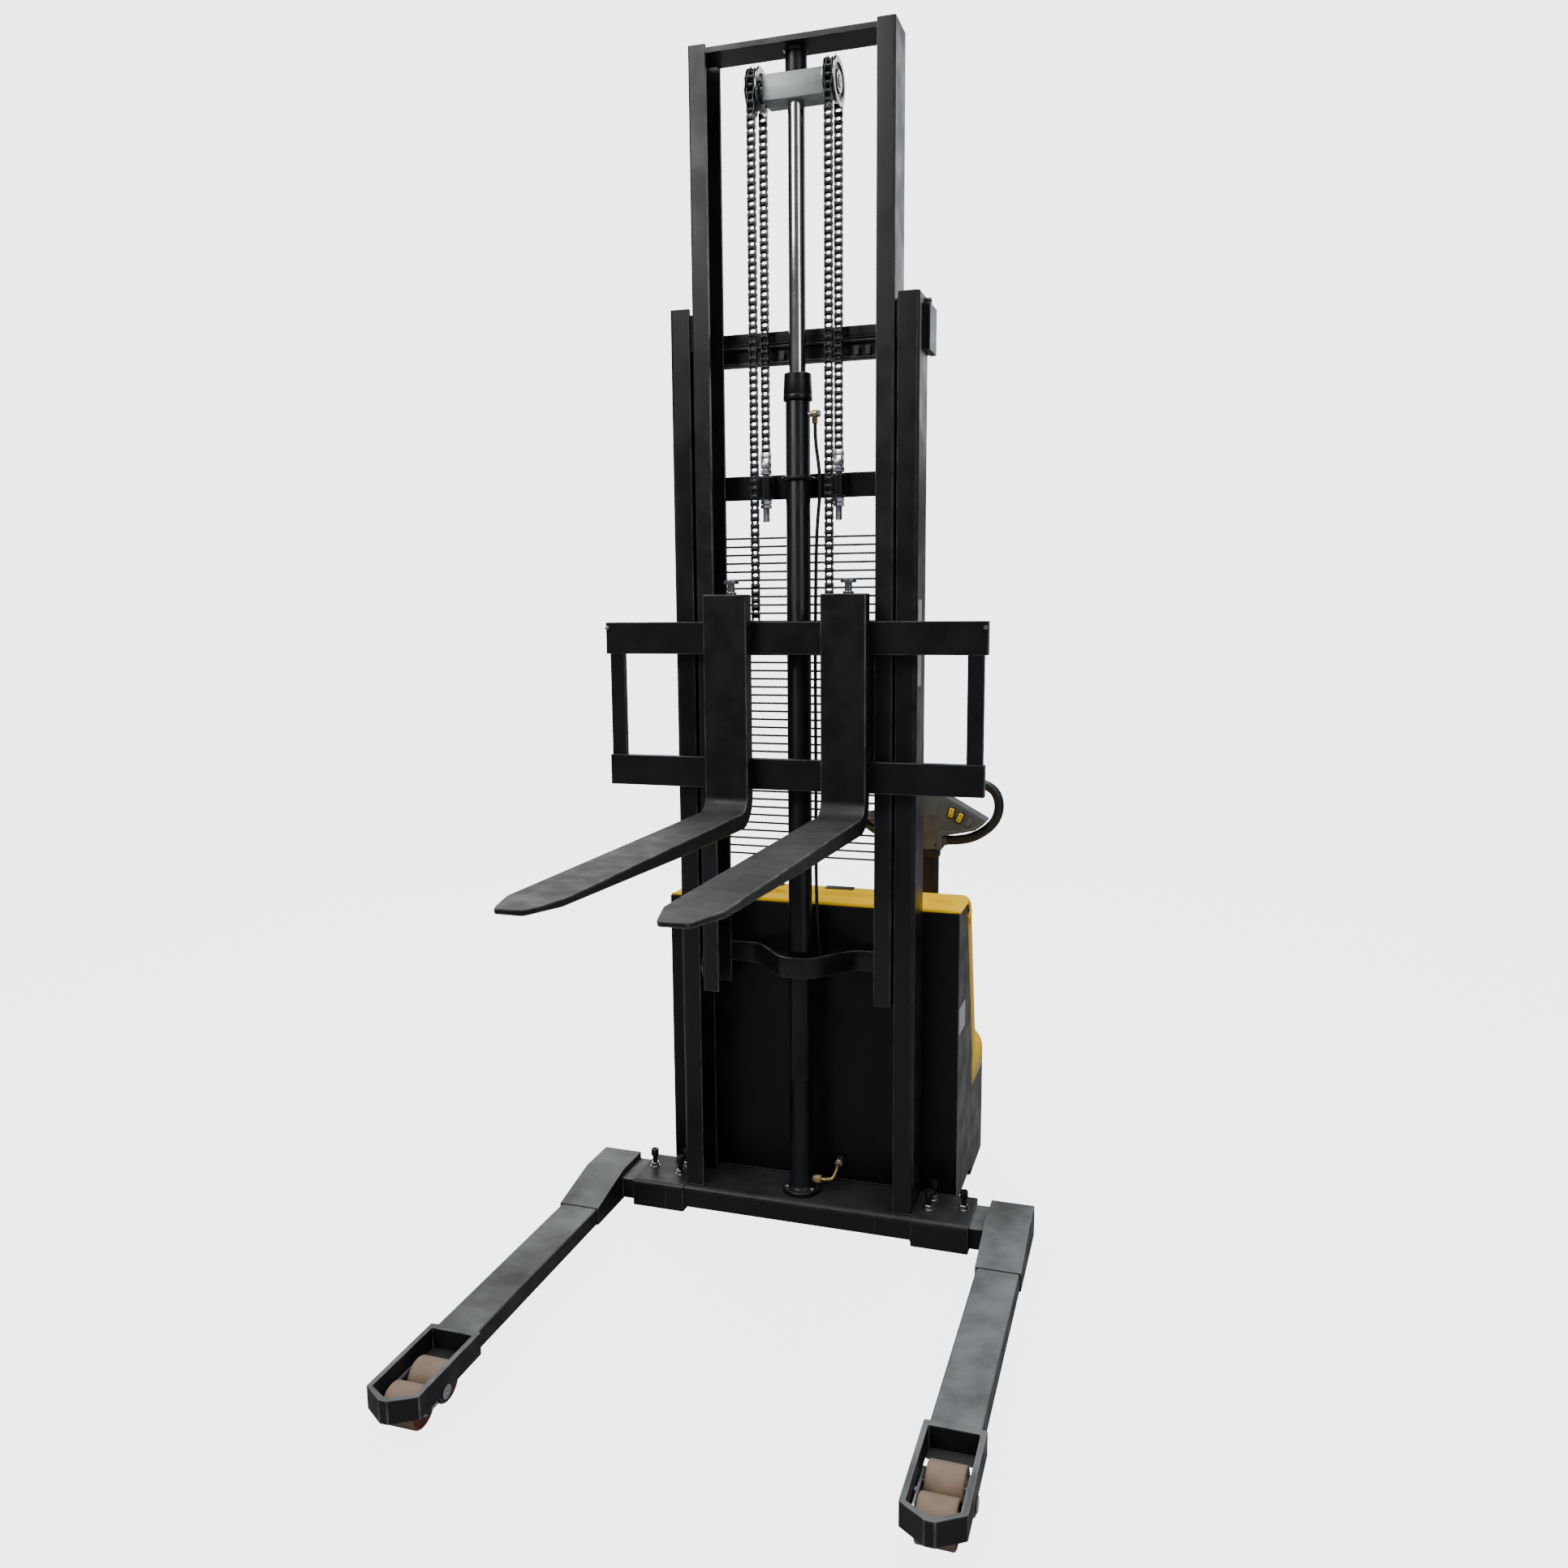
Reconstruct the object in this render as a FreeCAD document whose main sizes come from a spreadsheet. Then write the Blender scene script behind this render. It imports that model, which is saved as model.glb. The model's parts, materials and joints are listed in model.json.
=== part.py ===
import FreeCAD, Part
import math
import os
import re
import Sketcher

# Walkie stacker with straddle legs: a two-stage mast lifted by one middle cylinder and two chains.
# Millimetres. +Z is up, the forks point to -Y, the driver stands at +Y, and "right" is +X.
# The origin lies on the floor under the middle of the machine.

SIZES = {
    # floor frame
    "deckTop": 112, "deckThickness": 6, "beamFront": 171, "beamRear": 312, "beamHalf": 277,
    "beamBottom": 60, "beamWall": 8,
    "sleeveFront": 166, "sleeveBottom": 48, "sleeveTop": 114, "sleeveEnd": 408, "sleeveCheek": 14,
    "boltNear": 308, "boltFar": 385, "boltFrontRow": 228, "boltMidRow": 250, "boltRearRow": 276,
    "boltRadius": 6, "boltTop": 158,
    # straddle legs
    "armRoot": 60, "armBottom": 55, "armTop": 105, "armFront": 181, "armRear": 297,
    "legInner": 442, "legOuter": 541, "legBottom": 50, "shoulderTop": 124, "shoulderRear": 293,
    "shoulderFlat": 185, "shoulderToe": 45, "shoulderToeTop": 93,
    "legTubeInner": 445, "legTubeOuter": 538, "legTubeBottom": 52, "legTubeTop": 91,
    "noseInner": 436, "noseOuter": 547, "noseRear": -478, "noseBend": -684, "noseTip": -714,
    "noseTipHalf": 9, "noseBottom": 48, "noseTop": 95, "noseWall": 11, "lobeRadius": 20,
    "pivotPlace": -601, "pivotHeight": 50, "pivotRadius": 9, "axleSpread": 40,
    "rollerRadius": 38, "rollerInner": 458, "rollerOuter": 525, "axleRadius": 8,
    "linkInner": 450, "linkOuter": 533, "linkThickness": 5,
    # mast
    "mastFront": 186, "outerHalf": 277, "outerFlange": 46, "outerDepth": 100, "outerWall": 9,
    "outerTop": 2129,
    "innerHalf": 225, "innerFlange": 40, "innerDepth": 96, "innerWall": 8,
    "innerBottom": 598, "innerTop": 2659, "topBarBottom": 2639, "topBarTop": 2651, "topBarRear": 267,
    "bandBottom": 648, "bandTop": 696, "bandThickness": 8, "bandRear": 290, "bandFront": 180,
    "bandBow": 42, "bandFoot": 112, "bandBend": 24,
    "tieBottom": 2020, "tieTop": 2090, "tieThickness": 24, "cheekHalf": 290, "cheekFront": 236,
    "cheekBottom": 2018, "cheekTop": 2114,
    "midTieBottom": 1727, "midTieTop": 1780, "midTieThickness": 12,
    "mastRollerRadius": 40.6, "carriageRollerRadius": 39.6, "stubRadius": 15, "runningFit": 0.05,
    "mastRollerHeight": 650, "channelMiddle": 236, "carriageRollerPlace": 234,
    "guardBottom": 920, "guardTop": 1632, "guardPlace": 304, "guardWire": 2.5, "guardBar": 254,
    # lift cylinder
    "cylinderPlace": 236, "barrelRadius": 27, "boreRadius": 20, "barrelTop": 1930, "footRadius": 45,
    "footThickness": 12, "glandTop": 1987, "glandBase": 32, "glandCrown": 29.5,
    "rodRadius": 18.5, "rodBottom": 640, "pistonLength": 30, "crossheadBottom": 2537,
    "crossheadTop": 2590, "crossheadHalf": 66, "crossheadDepth": 30, "postRadius": 23,
    "clampHeight": 1765, "clampWire": 4.5,
    # chains and pulleys
    "chainPlace": 84, "chainHalfWidth": 9.8, "chainHalfDepth": 7.2, "pulleyHeight": 2563,
    "pulleyPlace": 226, "pitchRadius": 40, "pulleyRoot": 32.3, "pulleyRim": 47, "pulleyGap": 10.5,
    "pulleyFlange": 3, "pulleyPin": 12.5, "anchorTop": 1829, "anchorBottom": 1676,
    "anchorRadius": 8, "bossRadius": 15, "frontChainBottom": 1446,
    # carriage and forks
    "barFront": 153, "barThickness": 20, "topBarHalf": 434, "lowBarHalf": 430,
    "topRailBottom": 1384, "topRailTop": 1455, "lowRailBottom": 1085, "lowRailTop": 1154,
    "endBarInner": 391, "endBarOuter": 426, "cheekPlateInner": 165, "cheekPlateThickness": 12,
    "cheekPlateRear": 258, "cheekPlateTop": 1412, "cheekPlateBottom": 1095,
    "upperRoller": 1370, "lowerRoller": 1142,
    "forkPlace": 133, "forkHalf": 50, "forkThickness": 37.5, "forkTop": 1514, "bladeTop": 1041,
    "bladeMiddle": -288, "bladeMiddleBottom": 1013, "forkTip": -826, "tipBottom": 1031,
    "taperStart": -744, "tipHalf": 24, "heelInside": 34, "heelOutside": 68,
    "hookHalf": 30, "hookRear": 184, "hookBottom": 1420,
    "latchRadius": 8, "latchHead": 17, "latchTop": 1545, "latchPlace": 163,
    # power section
    "boxHalf": 356, "boxFront": 313, "boxBottom": 86, "boxTop": 790, "boxTopRear": 421,
    "boxLowRear": 529, "boxSlopeFoot": 384, "sheetMetal": 6,
    "coverTop": 800, "coverCrest": 472, "coverShoulder": 498, "coverRear": 600, "coverFoot": 390,
    "coverWall": 4, "skirtRear": 826, "skirtBottom": 62, "skirtTop": 298, "skirtCorner": 130,
    "deckCoverTop": 388, "bearingPlateBottom": 236, "bearingPlateTop": 244,
    # drive, stabiliser wheel and tiller
    "steerPlace": 205, "steerDepth": 686, "driveRadius": 105, "driveHalfWidth": 35, "neckRadius": 70,
    "driveAxle": 15, "motorRadius": 62, "motorTop": 372, "coverHole": 84,
    "casterRadius": 60, "casterTrail": 35, "casterHalfWidth": 20, "stemRadius": 15,
    "tillerPivot": 430, "tillerPin": 10, "armHalfWidth": 32, "armHalfDepth": 18, "armTopEnd": 866,
    "headHalf": 44, "headHalfDepth": 25, "headTop": 1062, "wingRoot": 1011, "wingTip": 160,
    "wingTipHeight": 949, "gripRadius": 12.5, "throttleHeight": 1000, "throttleRadius": 13,
    "buttonDepth": 6, "keyPlace": -125, "stopPlace": 200, "controlDepth": 456, "keyStem": 9,
}

document = FreeCAD.newDocument("WalkieStacker")
sheet = document.addObject("Spreadsheet::Sheet", "Sizes")
for row, (word, value) in enumerate(SIZES.items(), start=1):
    sheet.set(f"A{row}", word)
    sheet.set(f"B{row}", str(value))
    sheet.setAlias(f"B{row}", word)
document.recompute()

subparts = []
# Distance of each button from the tiller's middle, and its height.
BUTTONS = {"lift_button": (68, 966), "lower_button": (90, 954)}
SIDES = {"left": -1, "right": 1}
TURNS = {
    "x": FreeCAD.Rotation(FreeCAD.Vector(0, 1, 0), 90),
    "y": FreeCAD.Rotation(FreeCAD.Vector(1, 0, 0), -90),
    "z": FreeCAD.Rotation(),
}
PLANES = {
    "XY_Plane": (FreeCAD.Vector(1, 0, 0), FreeCAD.Vector(0, 1, 0)),
    "XZ_Plane": (FreeCAD.Vector(1, 0, 0), FreeCAD.Vector(0, 0, 1)),
    "YZ_Plane": (FreeCAD.Vector(0, 1, 0), FreeCAD.Vector(0, 0, 1)),
}


def linked(expression):
    """Point every size named in an expression at its cell."""
    return re.sub(
        r"[A-Za-z]\w*",
        lambda word: f"Sizes.{word.group()}" if word.group() in SIZES else word.group(),
        str(expression),
    )


def bind(item, prop, expression):
    item.setExpression(prop, linked(expression))


def place(item, x, y, z):
    for axis, expression in zip("xyz", (x, y, z)):
        bind(item, f"Placement.Base.{axis}", expression)


def sided(side, inner, outer):
    """The span between two distances from the middle plane, on the left (-1) or right (1)."""
    return (inner, outer) if side > 0 else (f"-({outer})", f"-({inner})")


def box(name, x, y, z):
    """A block between a low and a high limit along each axis."""
    block = document.addObject("Part::Box", name)
    for prop, (low, high) in zip(("Length", "Width", "Height"), (x, y, z)):
        bind(block, prop, f"({high}) - ({low})")
    place(block, x[0], y[0], z[0])
    return block


def start_point(axis, centre, low):
    """Where a round piece along an axis starts; centre gives its other two places in X, Y, Z order."""
    first, second = centre
    return {"x": (low, first, second), "y": (first, low, second), "z": (first, second, low)}[axis]


def rod(name, axis, centre, span, radius):
    bar = document.addObject("Part::Cylinder", name)
    bar.Placement = FreeCAD.Placement(FreeCAD.Vector(), TURNS[axis])
    bind(bar, "Radius", radius)
    bind(bar, "Height", f"({span[1]}) - ({span[0]})")
    place(bar, *start_point(axis, centre, span[0]))
    return bar


def cone(name, centre, span, low_radius, high_radius):
    piece = document.addObject("Part::Cone", name)
    bind(piece, "Radius1", low_radius)
    bind(piece, "Radius2", high_radius)
    bind(piece, "Height", f"({span[1]}) - ({span[0]})")
    place(piece, *start_point("z", centre, span[0]))
    return piece


def fuse(name, *pieces):
    joined = document.addObject("Part::MultiFuse", name)
    joined.Shapes = pieces
    return joined


def cut(name, base, *tools):
    result = document.addObject("Part::Cut", name)
    result.Base = base
    result.Tool = tools[0] if len(tools) == 1 else fuse(f"{name}_tools", *tools)
    return result


def common(name, base, tool):
    result = document.addObject("Part::Common", name)
    result.Base = base
    result.Tool = tool
    return result


def group(name, *pieces):
    """Separate solids that make one sub-part, such as a set of bolts."""
    result = document.addObject("Part::Compound", name)
    result.Links = pieces
    return result


def ring(name, axis, centre, span, radius, bore):
    low, high = span
    outside = rod(f"{name}_outside", axis, centre, span, radius)
    inside = rod(f"{name}_bore", axis, centre, (f"({low}) - 1", f"({high}) + 1"), bore)
    return cut(name, outside, inside)


def sketch_on(body, plane_role, outline):
    """A closed sketch whose corners are held by their two distances from the origin."""
    sketch = body.newObject("Sketcher::SketchObject", f"{body.Name}_sketch")
    plane = next(feature for feature in body.Origin.OriginFeatures if feature.Role == plane_role)
    sketch.AttachmentSupport = (plane, [""])
    sketch.MapMode = "FlatFace"
    count = len(outline)
    turn = 2 * math.pi / count
    corners = [FreeCAD.Vector(100 * math.cos(i * turn), 100 * math.sin(i * turn), 0) for i in range(count)]
    for index, corner in enumerate(corners):
        sketch.addGeometry(Part.LineSegment(corner, corners[(index + 1) % count]))
    for index in range(count):
        sketch.addConstraint(Sketcher.Constraint("Coincident", index, 2, (index + 1) % count, 1))
    for index, corner in enumerate(corners):
        for kind, now, expression in zip(("DistanceX", "DistanceY"), corner, outline[index]):
            number = sketch.addConstraint(Sketcher.Constraint(kind, -1, 1, index, 1, now))
            bind(sketch, f"Constraints[{number}]", expression)
    return sketch


def rounded_edges(pad, sketch, plane_role, corners):
    """Names of the pad's edges that stand on the given corners of its sketch."""
    across, up = PLANES[plane_role]
    normal = across.cross(up)
    names = []
    for corner in corners:
        flat = sketch.getPoint(corner, 1)
        foot = across * flat.x + up * flat.y
        for number, edge in enumerate(pad.Shape.Edges, start=1):
            ends = [vertex.Point for vertex in edge.Vertexes]
            if len(ends) == 2 and min((end - foot).Length for end in ends) < 0.001:
                if (ends[1] - ends[0]).cross(normal).Length < 0.001:
                    names.append(f"Edge{number}")
    return names


def extrude(name, plane_role, outline, span, rounds=()):
    """A PartDesign pad of an outline between two places along its normal, with rounded corners."""
    body = document.addObject("PartDesign::Body", name)
    sketch = sketch_on(body, plane_role, outline)
    pad = body.newObject("PartDesign::Pad", f"{name}_pad")
    pad.Profile = sketch
    bind(pad, "Length", f"({span[1]}) - ({span[0]})")
    document.recompute()
    last = pad
    for number, (radius, corners) in enumerate(rounds):
        fillet = body.newObject("PartDesign::Fillet", f"{name}_round_{number}")
        fillet.Base = (last, rounded_edges(last, sketch, plane_role, corners))
        bind(fillet, "Radius", radius)
        document.recompute()
        last = fillet
    body.Tip = last
    offset = {"XY_Plane": (0, 0, span[0]), "XZ_Plane": (0, span[1], 0), "YZ_Plane": (span[0], 0, 0)}
    place(body, *offset[plane_role])
    return body


def size(word):
    return float(sheet.get(word))


def bent_path(points):
    """Straight runs joined by tangent arcs, each as large as its two runs allow."""
    edges = []
    start = points[0]
    for before, corner, after in zip(points, points[1:], points[2:]):
        back = (before - corner).normalize()
        ahead = (after - corner).normalize()
        half_turn = (math.pi - back.getAngle(ahead)) / 2
        reach = 0.45 * min((before - corner).Length, (after - corner).Length)
        radius = reach / math.tan(half_turn)
        middle = (back + ahead).normalize()
        arc_start = corner + back * reach
        arc_end = corner + ahead * reach
        arc_middle = corner + middle * (radius / math.cos(half_turn) - radius)
        edges.append(Part.LineSegment(start, arc_start).toShape())
        edges.append(Part.Arc(arc_start, arc_middle, arc_end).toShape())
        start = arc_end
    edges.append(Part.LineSegment(start, points[-1]).toShape())
    return Part.Wire(edges)


def pipe(name, points, radius):
    """A round tube along a bent path; FreeCAD has no bound feature for a free path in space."""
    wire = bent_path(points)
    direction = points[1] - points[0]
    circle = Part.Wire(Part.makeCircle(radius, points[0], direction))
    tube = document.addObject("Part::Feature", name)
    tube.Shape = wire.makePipeShell([circle], True, False)
    expected = math.pi * radius ** 2 * wire.Length
    print(f"{name}: length {wire.Length:.0f} mm, volume is {tube.Shape.Volume / expected:.4f} of its run")
    return tube


def keep(item, label):
    """Give a finished sub-part the name that its file and node carry."""
    item.Label = label
    subparts.append(item)


def channel(name, side, half, flange, depth, wall, z):
    """A mast upright: a C section that opens towards the middle of the machine."""
    blank = box(f"{name}_blank", sided(side, f"{half} - {flange}", half),
                ("mastFront", f"mastFront + {depth}"), z)
    hollow = box(
        f"{name}_hollow",
        sided(side, f"{half} - {flange} - 1", f"{half} - {wall}"),
        (f"mastFront + {wall}", f"mastFront + {depth} - {wall}"),
        (f"({z[0]}) - 1", f"({z[1]}) + 1"),
    )
    return cut(f"{name}_channel", blank, hollow)


def outer_mast():
    for word, side in SIDES.items():
        name = f"outer_mast_{word}"
        upright = channel(name, side, "outerHalf", "outerFlange", "outerDepth", "outerWall",
                          ("deckTop", "outerTop"))
        guide = box(
            f"{name}_guide",
            sided(side, "innerHalf + 1", "outerHalf - outerWall"),
            ("mastFront + outerWall", "mastFront + outerDepth - outerWall"),
            ("outerTop - 90", "outerTop - 12"),
        )
        keep(fuse(name, upright, guide), name)


def top_tie():
    rear = ("mastFront + outerDepth", "mastFront + outerDepth + tieThickness")
    beam = box("top_tie_beam", ("-cheekHalf", "cheekHalf"), rear, ("tieBottom", "tieTop"))
    recess = box(
        "top_tie_recess",
        ("-(outerHalf - outerFlange)", "outerHalf - outerFlange"),
        ("mastFront + outerDepth - 1", "mastFront + outerDepth + 8"),
        ("tieBottom + 6", "tieTop - 26"),
    )
    cheeks = [
        box(f"top_tie_cheek_{word}", sided(side, "outerHalf", "cheekHalf"),
            ("cheekFront", rear[1]), ("cheekBottom", "cheekTop"))
        for word, side in SIDES.items()
    ]
    keep(fuse("mast_top_tie", cut("top_tie_web", beam, recess), *cheeks), "mast_top_tie")


def middle_tie():
    rear = "mastFront + outerDepth"
    heights = ("midTieBottom", "midTieTop")
    bar = box("mid_tie_bar", ("-(outerHalf - 15)", "outerHalf - 15"), (rear, f"{rear} + midTieThickness"),
              heights)
    solids = [bar]
    holes = []
    for word, side in SIDES.items():
        centre = (f"{side} * chainPlace", "pulleyPlace + pitchRadius")
        boss_span = ("midTieBottom + 1", "midTieTop - 6")
        solids.append(rod(f"mid_tie_boss_{word}", "z", centre, boss_span, "bossRadius"))
        solids.append(box(f"mid_tie_web_{word}",
                          sided(side, "chainPlace - bossRadius + 5", "chainPlace + bossRadius - 5"),
                          ("pulleyPlace + pitchRadius", rear), boss_span))
        holes.append(rod(f"mid_tie_hole_{word}", "z", centre, heights, "anchorRadius + runningFit"))
    keep(cut("mast_mid_tie", fuse("mid_tie_solid", *solids), *holes), "mast_mid_tie")


def middle_tie_hardware():
    """Adjustable chain anchors through the tie's bosses, and the U-bolt that holds the barrel."""
    solids = []
    across = "pulleyPlace + pitchRadius"
    for word, side in SIDES.items():
        centre = (f"{side} * chainPlace", across)
        stud = rod(f"anchor_stud_{word}", "z", centre, ("anchorBottom", "anchorTop - 30"), "anchorRadius")
        clevis = box(f"anchor_clevis_{word}", sided(side, "chainPlace - 10", "chainPlace + 10"),
                     (f"{across} - 8", f"{across} + 8"), ("anchorTop - 37", "anchorTop"))
        low_nut = rod(f"anchor_low_nut_{word}", "z", centre, ("midTieBottom - 20", "midTieBottom + 0.7"), 13)
        high_nut = rod(f"anchor_high_nut_{word}", "z", centre, ("midTieTop - 5.7", "midTieTop + 5"), 13)
        solids.append(fuse(f"chain_anchor_{word}", stud, clevis, low_nut, high_nut))
    bow = document.addObject("Part::Torus", "barrel_clamp_bow")
    bow.Placement = FreeCAD.Placement(FreeCAD.Vector(), FreeCAD.Rotation(180, 0, 0))
    bow.Angle3 = 180
    bind(bow, "Radius1", "barrelRadius + clampWire + 0.5")
    bind(bow, "Radius2", "clampWire")
    place(bow, 0, "cylinderPlace", "clampHeight")
    legs = [
        rod(f"barrel_clamp_leg_{word}", "y", (f"{side} * (barrelRadius + clampWire + 0.5)", "clampHeight"),
            ("cylinderPlace", "mastFront + outerDepth"), "clampWire")
        for word, side in SIDES.items()
    ]
    solids.append(fuse("barrel_clamp", bow, *legs))
    keep(group("mid_tie_hardware", *solids), "mid_tie_hardware")


def base_beam():
    """Deck plate on two cross walls, with a sleeve at each end that a straddle leg slides in."""
    half = ("-beamHalf", "beamHalf")
    below_deck = ("beamBottom", "deckTop - deckThickness")
    deck = box("base_deck", half, ("beamFront", "beamRear"), ("deckTop - deckThickness", "deckTop"))
    front = box("base_front_wall", half, ("beamFront", "beamFront + beamWall"), below_deck)
    rear = box("base_rear_wall", half, ("beamRear - beamWall", "beamRear"), below_deck)
    solids = [deck, front, rear]
    holes = []
    for word, side in SIDES.items():
        shell = box(f"base_sleeve_{word}", sided(side, "beamHalf", "sleeveEnd"),
                    ("sleeveFront", "beamRear"), ("sleeveBottom", "sleeveTop"))
        hollow = box(f"base_sleeve_hollow_{word}", sided(side, "beamHalf - 1", "sleeveEnd + 1"),
                     ("sleeveFront + sleeveCheek", "beamRear - sleeveCheek"),
                     ("sleeveBottom + deckThickness", "deckTop - deckThickness"))
        solids.append(cut(f"base_sleeve_tube_{word}", shell, hollow))
        for number, (across, depth) in enumerate(clamp_bolt_places(side)):
            holes.append(rod(f"base_bolt_hole_{word}_{number}", "z", (across, depth),
                             ("deckTop - deckThickness - 1", "sleeveTop + 1"), "boltRadius + runningFit"))
    keep(cut("base_beam", fuse("base_solid", *solids), *holes), "base_beam")


def clamp_bolt_places(side):
    rows = (("boltNear", "boltFrontRow"), ("boltNear", "boltRearRow"), ("boltFar", "boltMidRow"))
    return [(f"{side} * {across}", depth) for across, depth in rows]


def leg_clamp_bolts():
    """Cap screws that press each leg's cross tube down in its sleeve, each with a lock nut."""
    bolts = []
    for word, side in SIDES.items():
        for number, centre in enumerate(clamp_bolt_places(side)):
            name = f"clamp_bolt_{word}_{number}"
            shank = rod(f"{name}_shank", "z", centre, ("deckTop - deckThickness + 0.2", "boltTop - 17"),
                        "boltRadius")
            head = rod(f"{name}_head", "z", centre, ("boltTop - 18", "boltTop"), "boltRadius + 3.5")
            nut = rod(f"{name}_nut", "z", centre, ("sleeveTop", "sleeveTop + 9"), "boltRadius + 5")
            bolts.append(fuse(name, shank, head, nut))
    keep(group("leg_clamp_bolts", *bolts), "leg_clamp_bolts")


def guard_mesh():
    """Horizontal wires that keep hands out of the mast, held by a flat bar behind each upright."""
    wires = 40
    bars = [
        box(f"guard_bar_{word}", sided(side, "guardBar - 8", "guardBar + 8"),
            ("mastFront + outerDepth + 0.2", "guardPlace + guardWire"), ("guardBottom - 15", "guardTop + 13"))
        for word, side in SIDES.items()
    ]
    rows = [
        rod(f"guard_wire_{number}", "x",
            ("guardPlace", f"guardBottom + {number} * (guardTop - guardBottom) / {wires - 1}"),
            ("-guardBar", "guardBar"), "guardWire")
        for number in range(wires)
    ]
    keep(fuse("guard_mesh", *bars, *rows), "guard_mesh")


def lift_cylinder():
    centre = (0, "cylinderPlace")
    tube = rod("barrel_tube", "z", centre, ("deckTop", "barrelTop"), "barrelRadius")
    foot = rod("barrel_foot", "z", centre, ("deckTop", "deckTop + footThickness"), "footRadius")
    bore = rod("barrel_bore", "z", centre, ("deckTop + footThickness", "barrelTop + 1"), "boreRadius")
    keep(cut("cylinder_barrel", fuse("barrel_solid", tube, foot), bore), "cylinder_barrel")

    collar = cone("gland_collar", centre, ("barrelTop", "glandTop"), "glandBase", "glandCrown")
    gland_bore = rod("gland_bore", "z", centre, ("barrelTop - 1", "glandTop + 1"), "rodRadius + runningFit")
    keep(cut("cylinder_gland", collar, gland_bore), "cylinder_gland")

    shaft = rod("rod_shaft", "z", centre, ("rodBottom", "crossheadBottom"), "rodRadius")
    piston = rod("rod_piston", "z", centre, ("rodBottom", "rodBottom + pistonLength"),
                 "boreRadius - 2 * runningFit")
    keep(fuse("piston_rod", shaft, piston), "piston_rod")


def hydraulic_fittings():
    """Pressure inlet at the barrel's foot, and the leak-off outlet below the gland."""
    edge = size("barrelRadius")
    place_y = size("cylinderPlace")
    inlet_z = size("deckTop") + 31
    panel = size("boxFront")
    inlet = pipe("inlet_pipe", [
        FreeCAD.Vector(edge - 5, place_y + 4, inlet_z),
        FreeCAD.Vector(edge + 25, place_y + 4, inlet_z),
        FreeCAD.Vector(edge + 50, panel - 28, inlet_z + 22),
        FreeCAD.Vector(edge + 50, panel, inlet_z + 22),
    ], 8)
    outlet = rod("outlet_boss", "x", ("cylinderPlace - 8", "barrelTop - 29"),
                 ("barrelRadius - 6", "barrelRadius + 20"), 6)
    banjo = rod("outlet_banjo", "z", ("barrelRadius + 14", "cylinderPlace - 8"),
                ("barrelTop - 40", "barrelTop - 21"), 8)
    trims = [
        rod(f"{word}_trim", "z", (0, "cylinderPlace"), ("deckTop", "barrelTop"), "barrelRadius")
        for word in ("inlet", "outlet")
    ]
    keep(group("hydraulic_fittings", cut("inlet", inlet, trims[0]),
               cut("outlet", fuse("outlet_solid", outlet, banjo), trims[1])), "hydraulic_fittings")


def leak_off_hose():
    """Thin return hose: down beside the barrel, clipped behind it, then into the power section."""
    near = size("barrelRadius")
    depth = size("cylinderPlace")
    top = size("barrelTop") - 40
    panel = size("boxFront")
    route = [
        FreeCAD.Vector(near + 14, depth - 8, top),
        FreeCAD.Vector(near + 14, depth - 8, top - 45),
        FreeCAD.Vector(near + 20, depth + 2, top - 100),
        FreeCAD.Vector(near + 20, depth + 12, top - 150),
        FreeCAD.Vector(near + 10, depth + 22, top - 220),
        FreeCAD.Vector(near + 6, depth + 24, top - 300),
        FreeCAD.Vector(near + 4, depth + 22, top - 520),
        FreeCAD.Vector(near + 5, depth + 22, top - 760),
        FreeCAD.Vector(near + 4, depth + 23, top - 1000),
        FreeCAD.Vector(near + 6, depth + 25, top - 1130),
        FreeCAD.Vector(near + 8, depth + 40, top - 1200),
        FreeCAD.Vector(near + 9, panel - 15, top - 1230),
        FreeCAD.Vector(near + 9, panel, top - 1230),
    ]
    keep(pipe("leak_off_hose", route, 4), "leak_off_hose")


def inner_mast():
    heights = ("innerBottom", "innerTop")
    for word, side in SIDES.items():
        name = f"inner_mast_{word}"
        upright = channel(name, side, "innerHalf", "innerFlange", "innerDepth", "innerWall", heights)
        stub = rod(f"{name}_stub", "x", ("channelMiddle", "mastRollerHeight"),
                   sided(side, "innerHalf - innerWall / 2", "outerHalf - outerWall - 5"), "stubRadius")
        keep(fuse(name, upright, stub), name)

    bar = box("inner_top_plate", ("-(innerHalf - innerFlange)", "innerHalf - innerFlange"),
              ("mastFront", "topBarRear"), ("topBarBottom", "topBarTop"))
    tongue = box("inner_top_tongue", ("-(innerHalf - innerWall)", "innerHalf - innerWall"),
                 ("mastFront + innerWall", "topBarRear - 10"), ("topBarBottom", "topBarTop"))
    keep(fuse("inner_mast_top_bar", bar, tongue), "inner_mast_top_bar")

    # The low tie is welded behind the uprights, clear of the carriage rollers, and bows round the barrel.
    flat = "innerHalf - innerWall"
    rear_face = [("bandFoot", "bandRear - bandThickness"), ("bandBow", "bandFront")]
    front_face = [("bandBow - 5", "bandFront + bandThickness"), ("bandFoot - 5", "bandRear")]
    right = [(flat, "bandRear - bandThickness"), *rear_face]
    left = [(f"-({x})", y) for x, y in reversed(right)]
    back_left = [(f"-({flat})", "bandRear")] + [(f"-({x})", y) for x, y in reversed(front_face)]
    back_right = front_face + [(flat, "bandRear")]
    outline = right + left + back_left + back_right
    inside = (1, 4, 7, 10)
    outside = (2, 3, 8, 9)
    band = extrude("inner_mast_band", "XY_Plane", outline, ("bandBottom", "bandTop"),
                   [("bandBend", inside), ("bandBend - 4", outside)])
    keep(band, "inner_mast_band")


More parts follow.
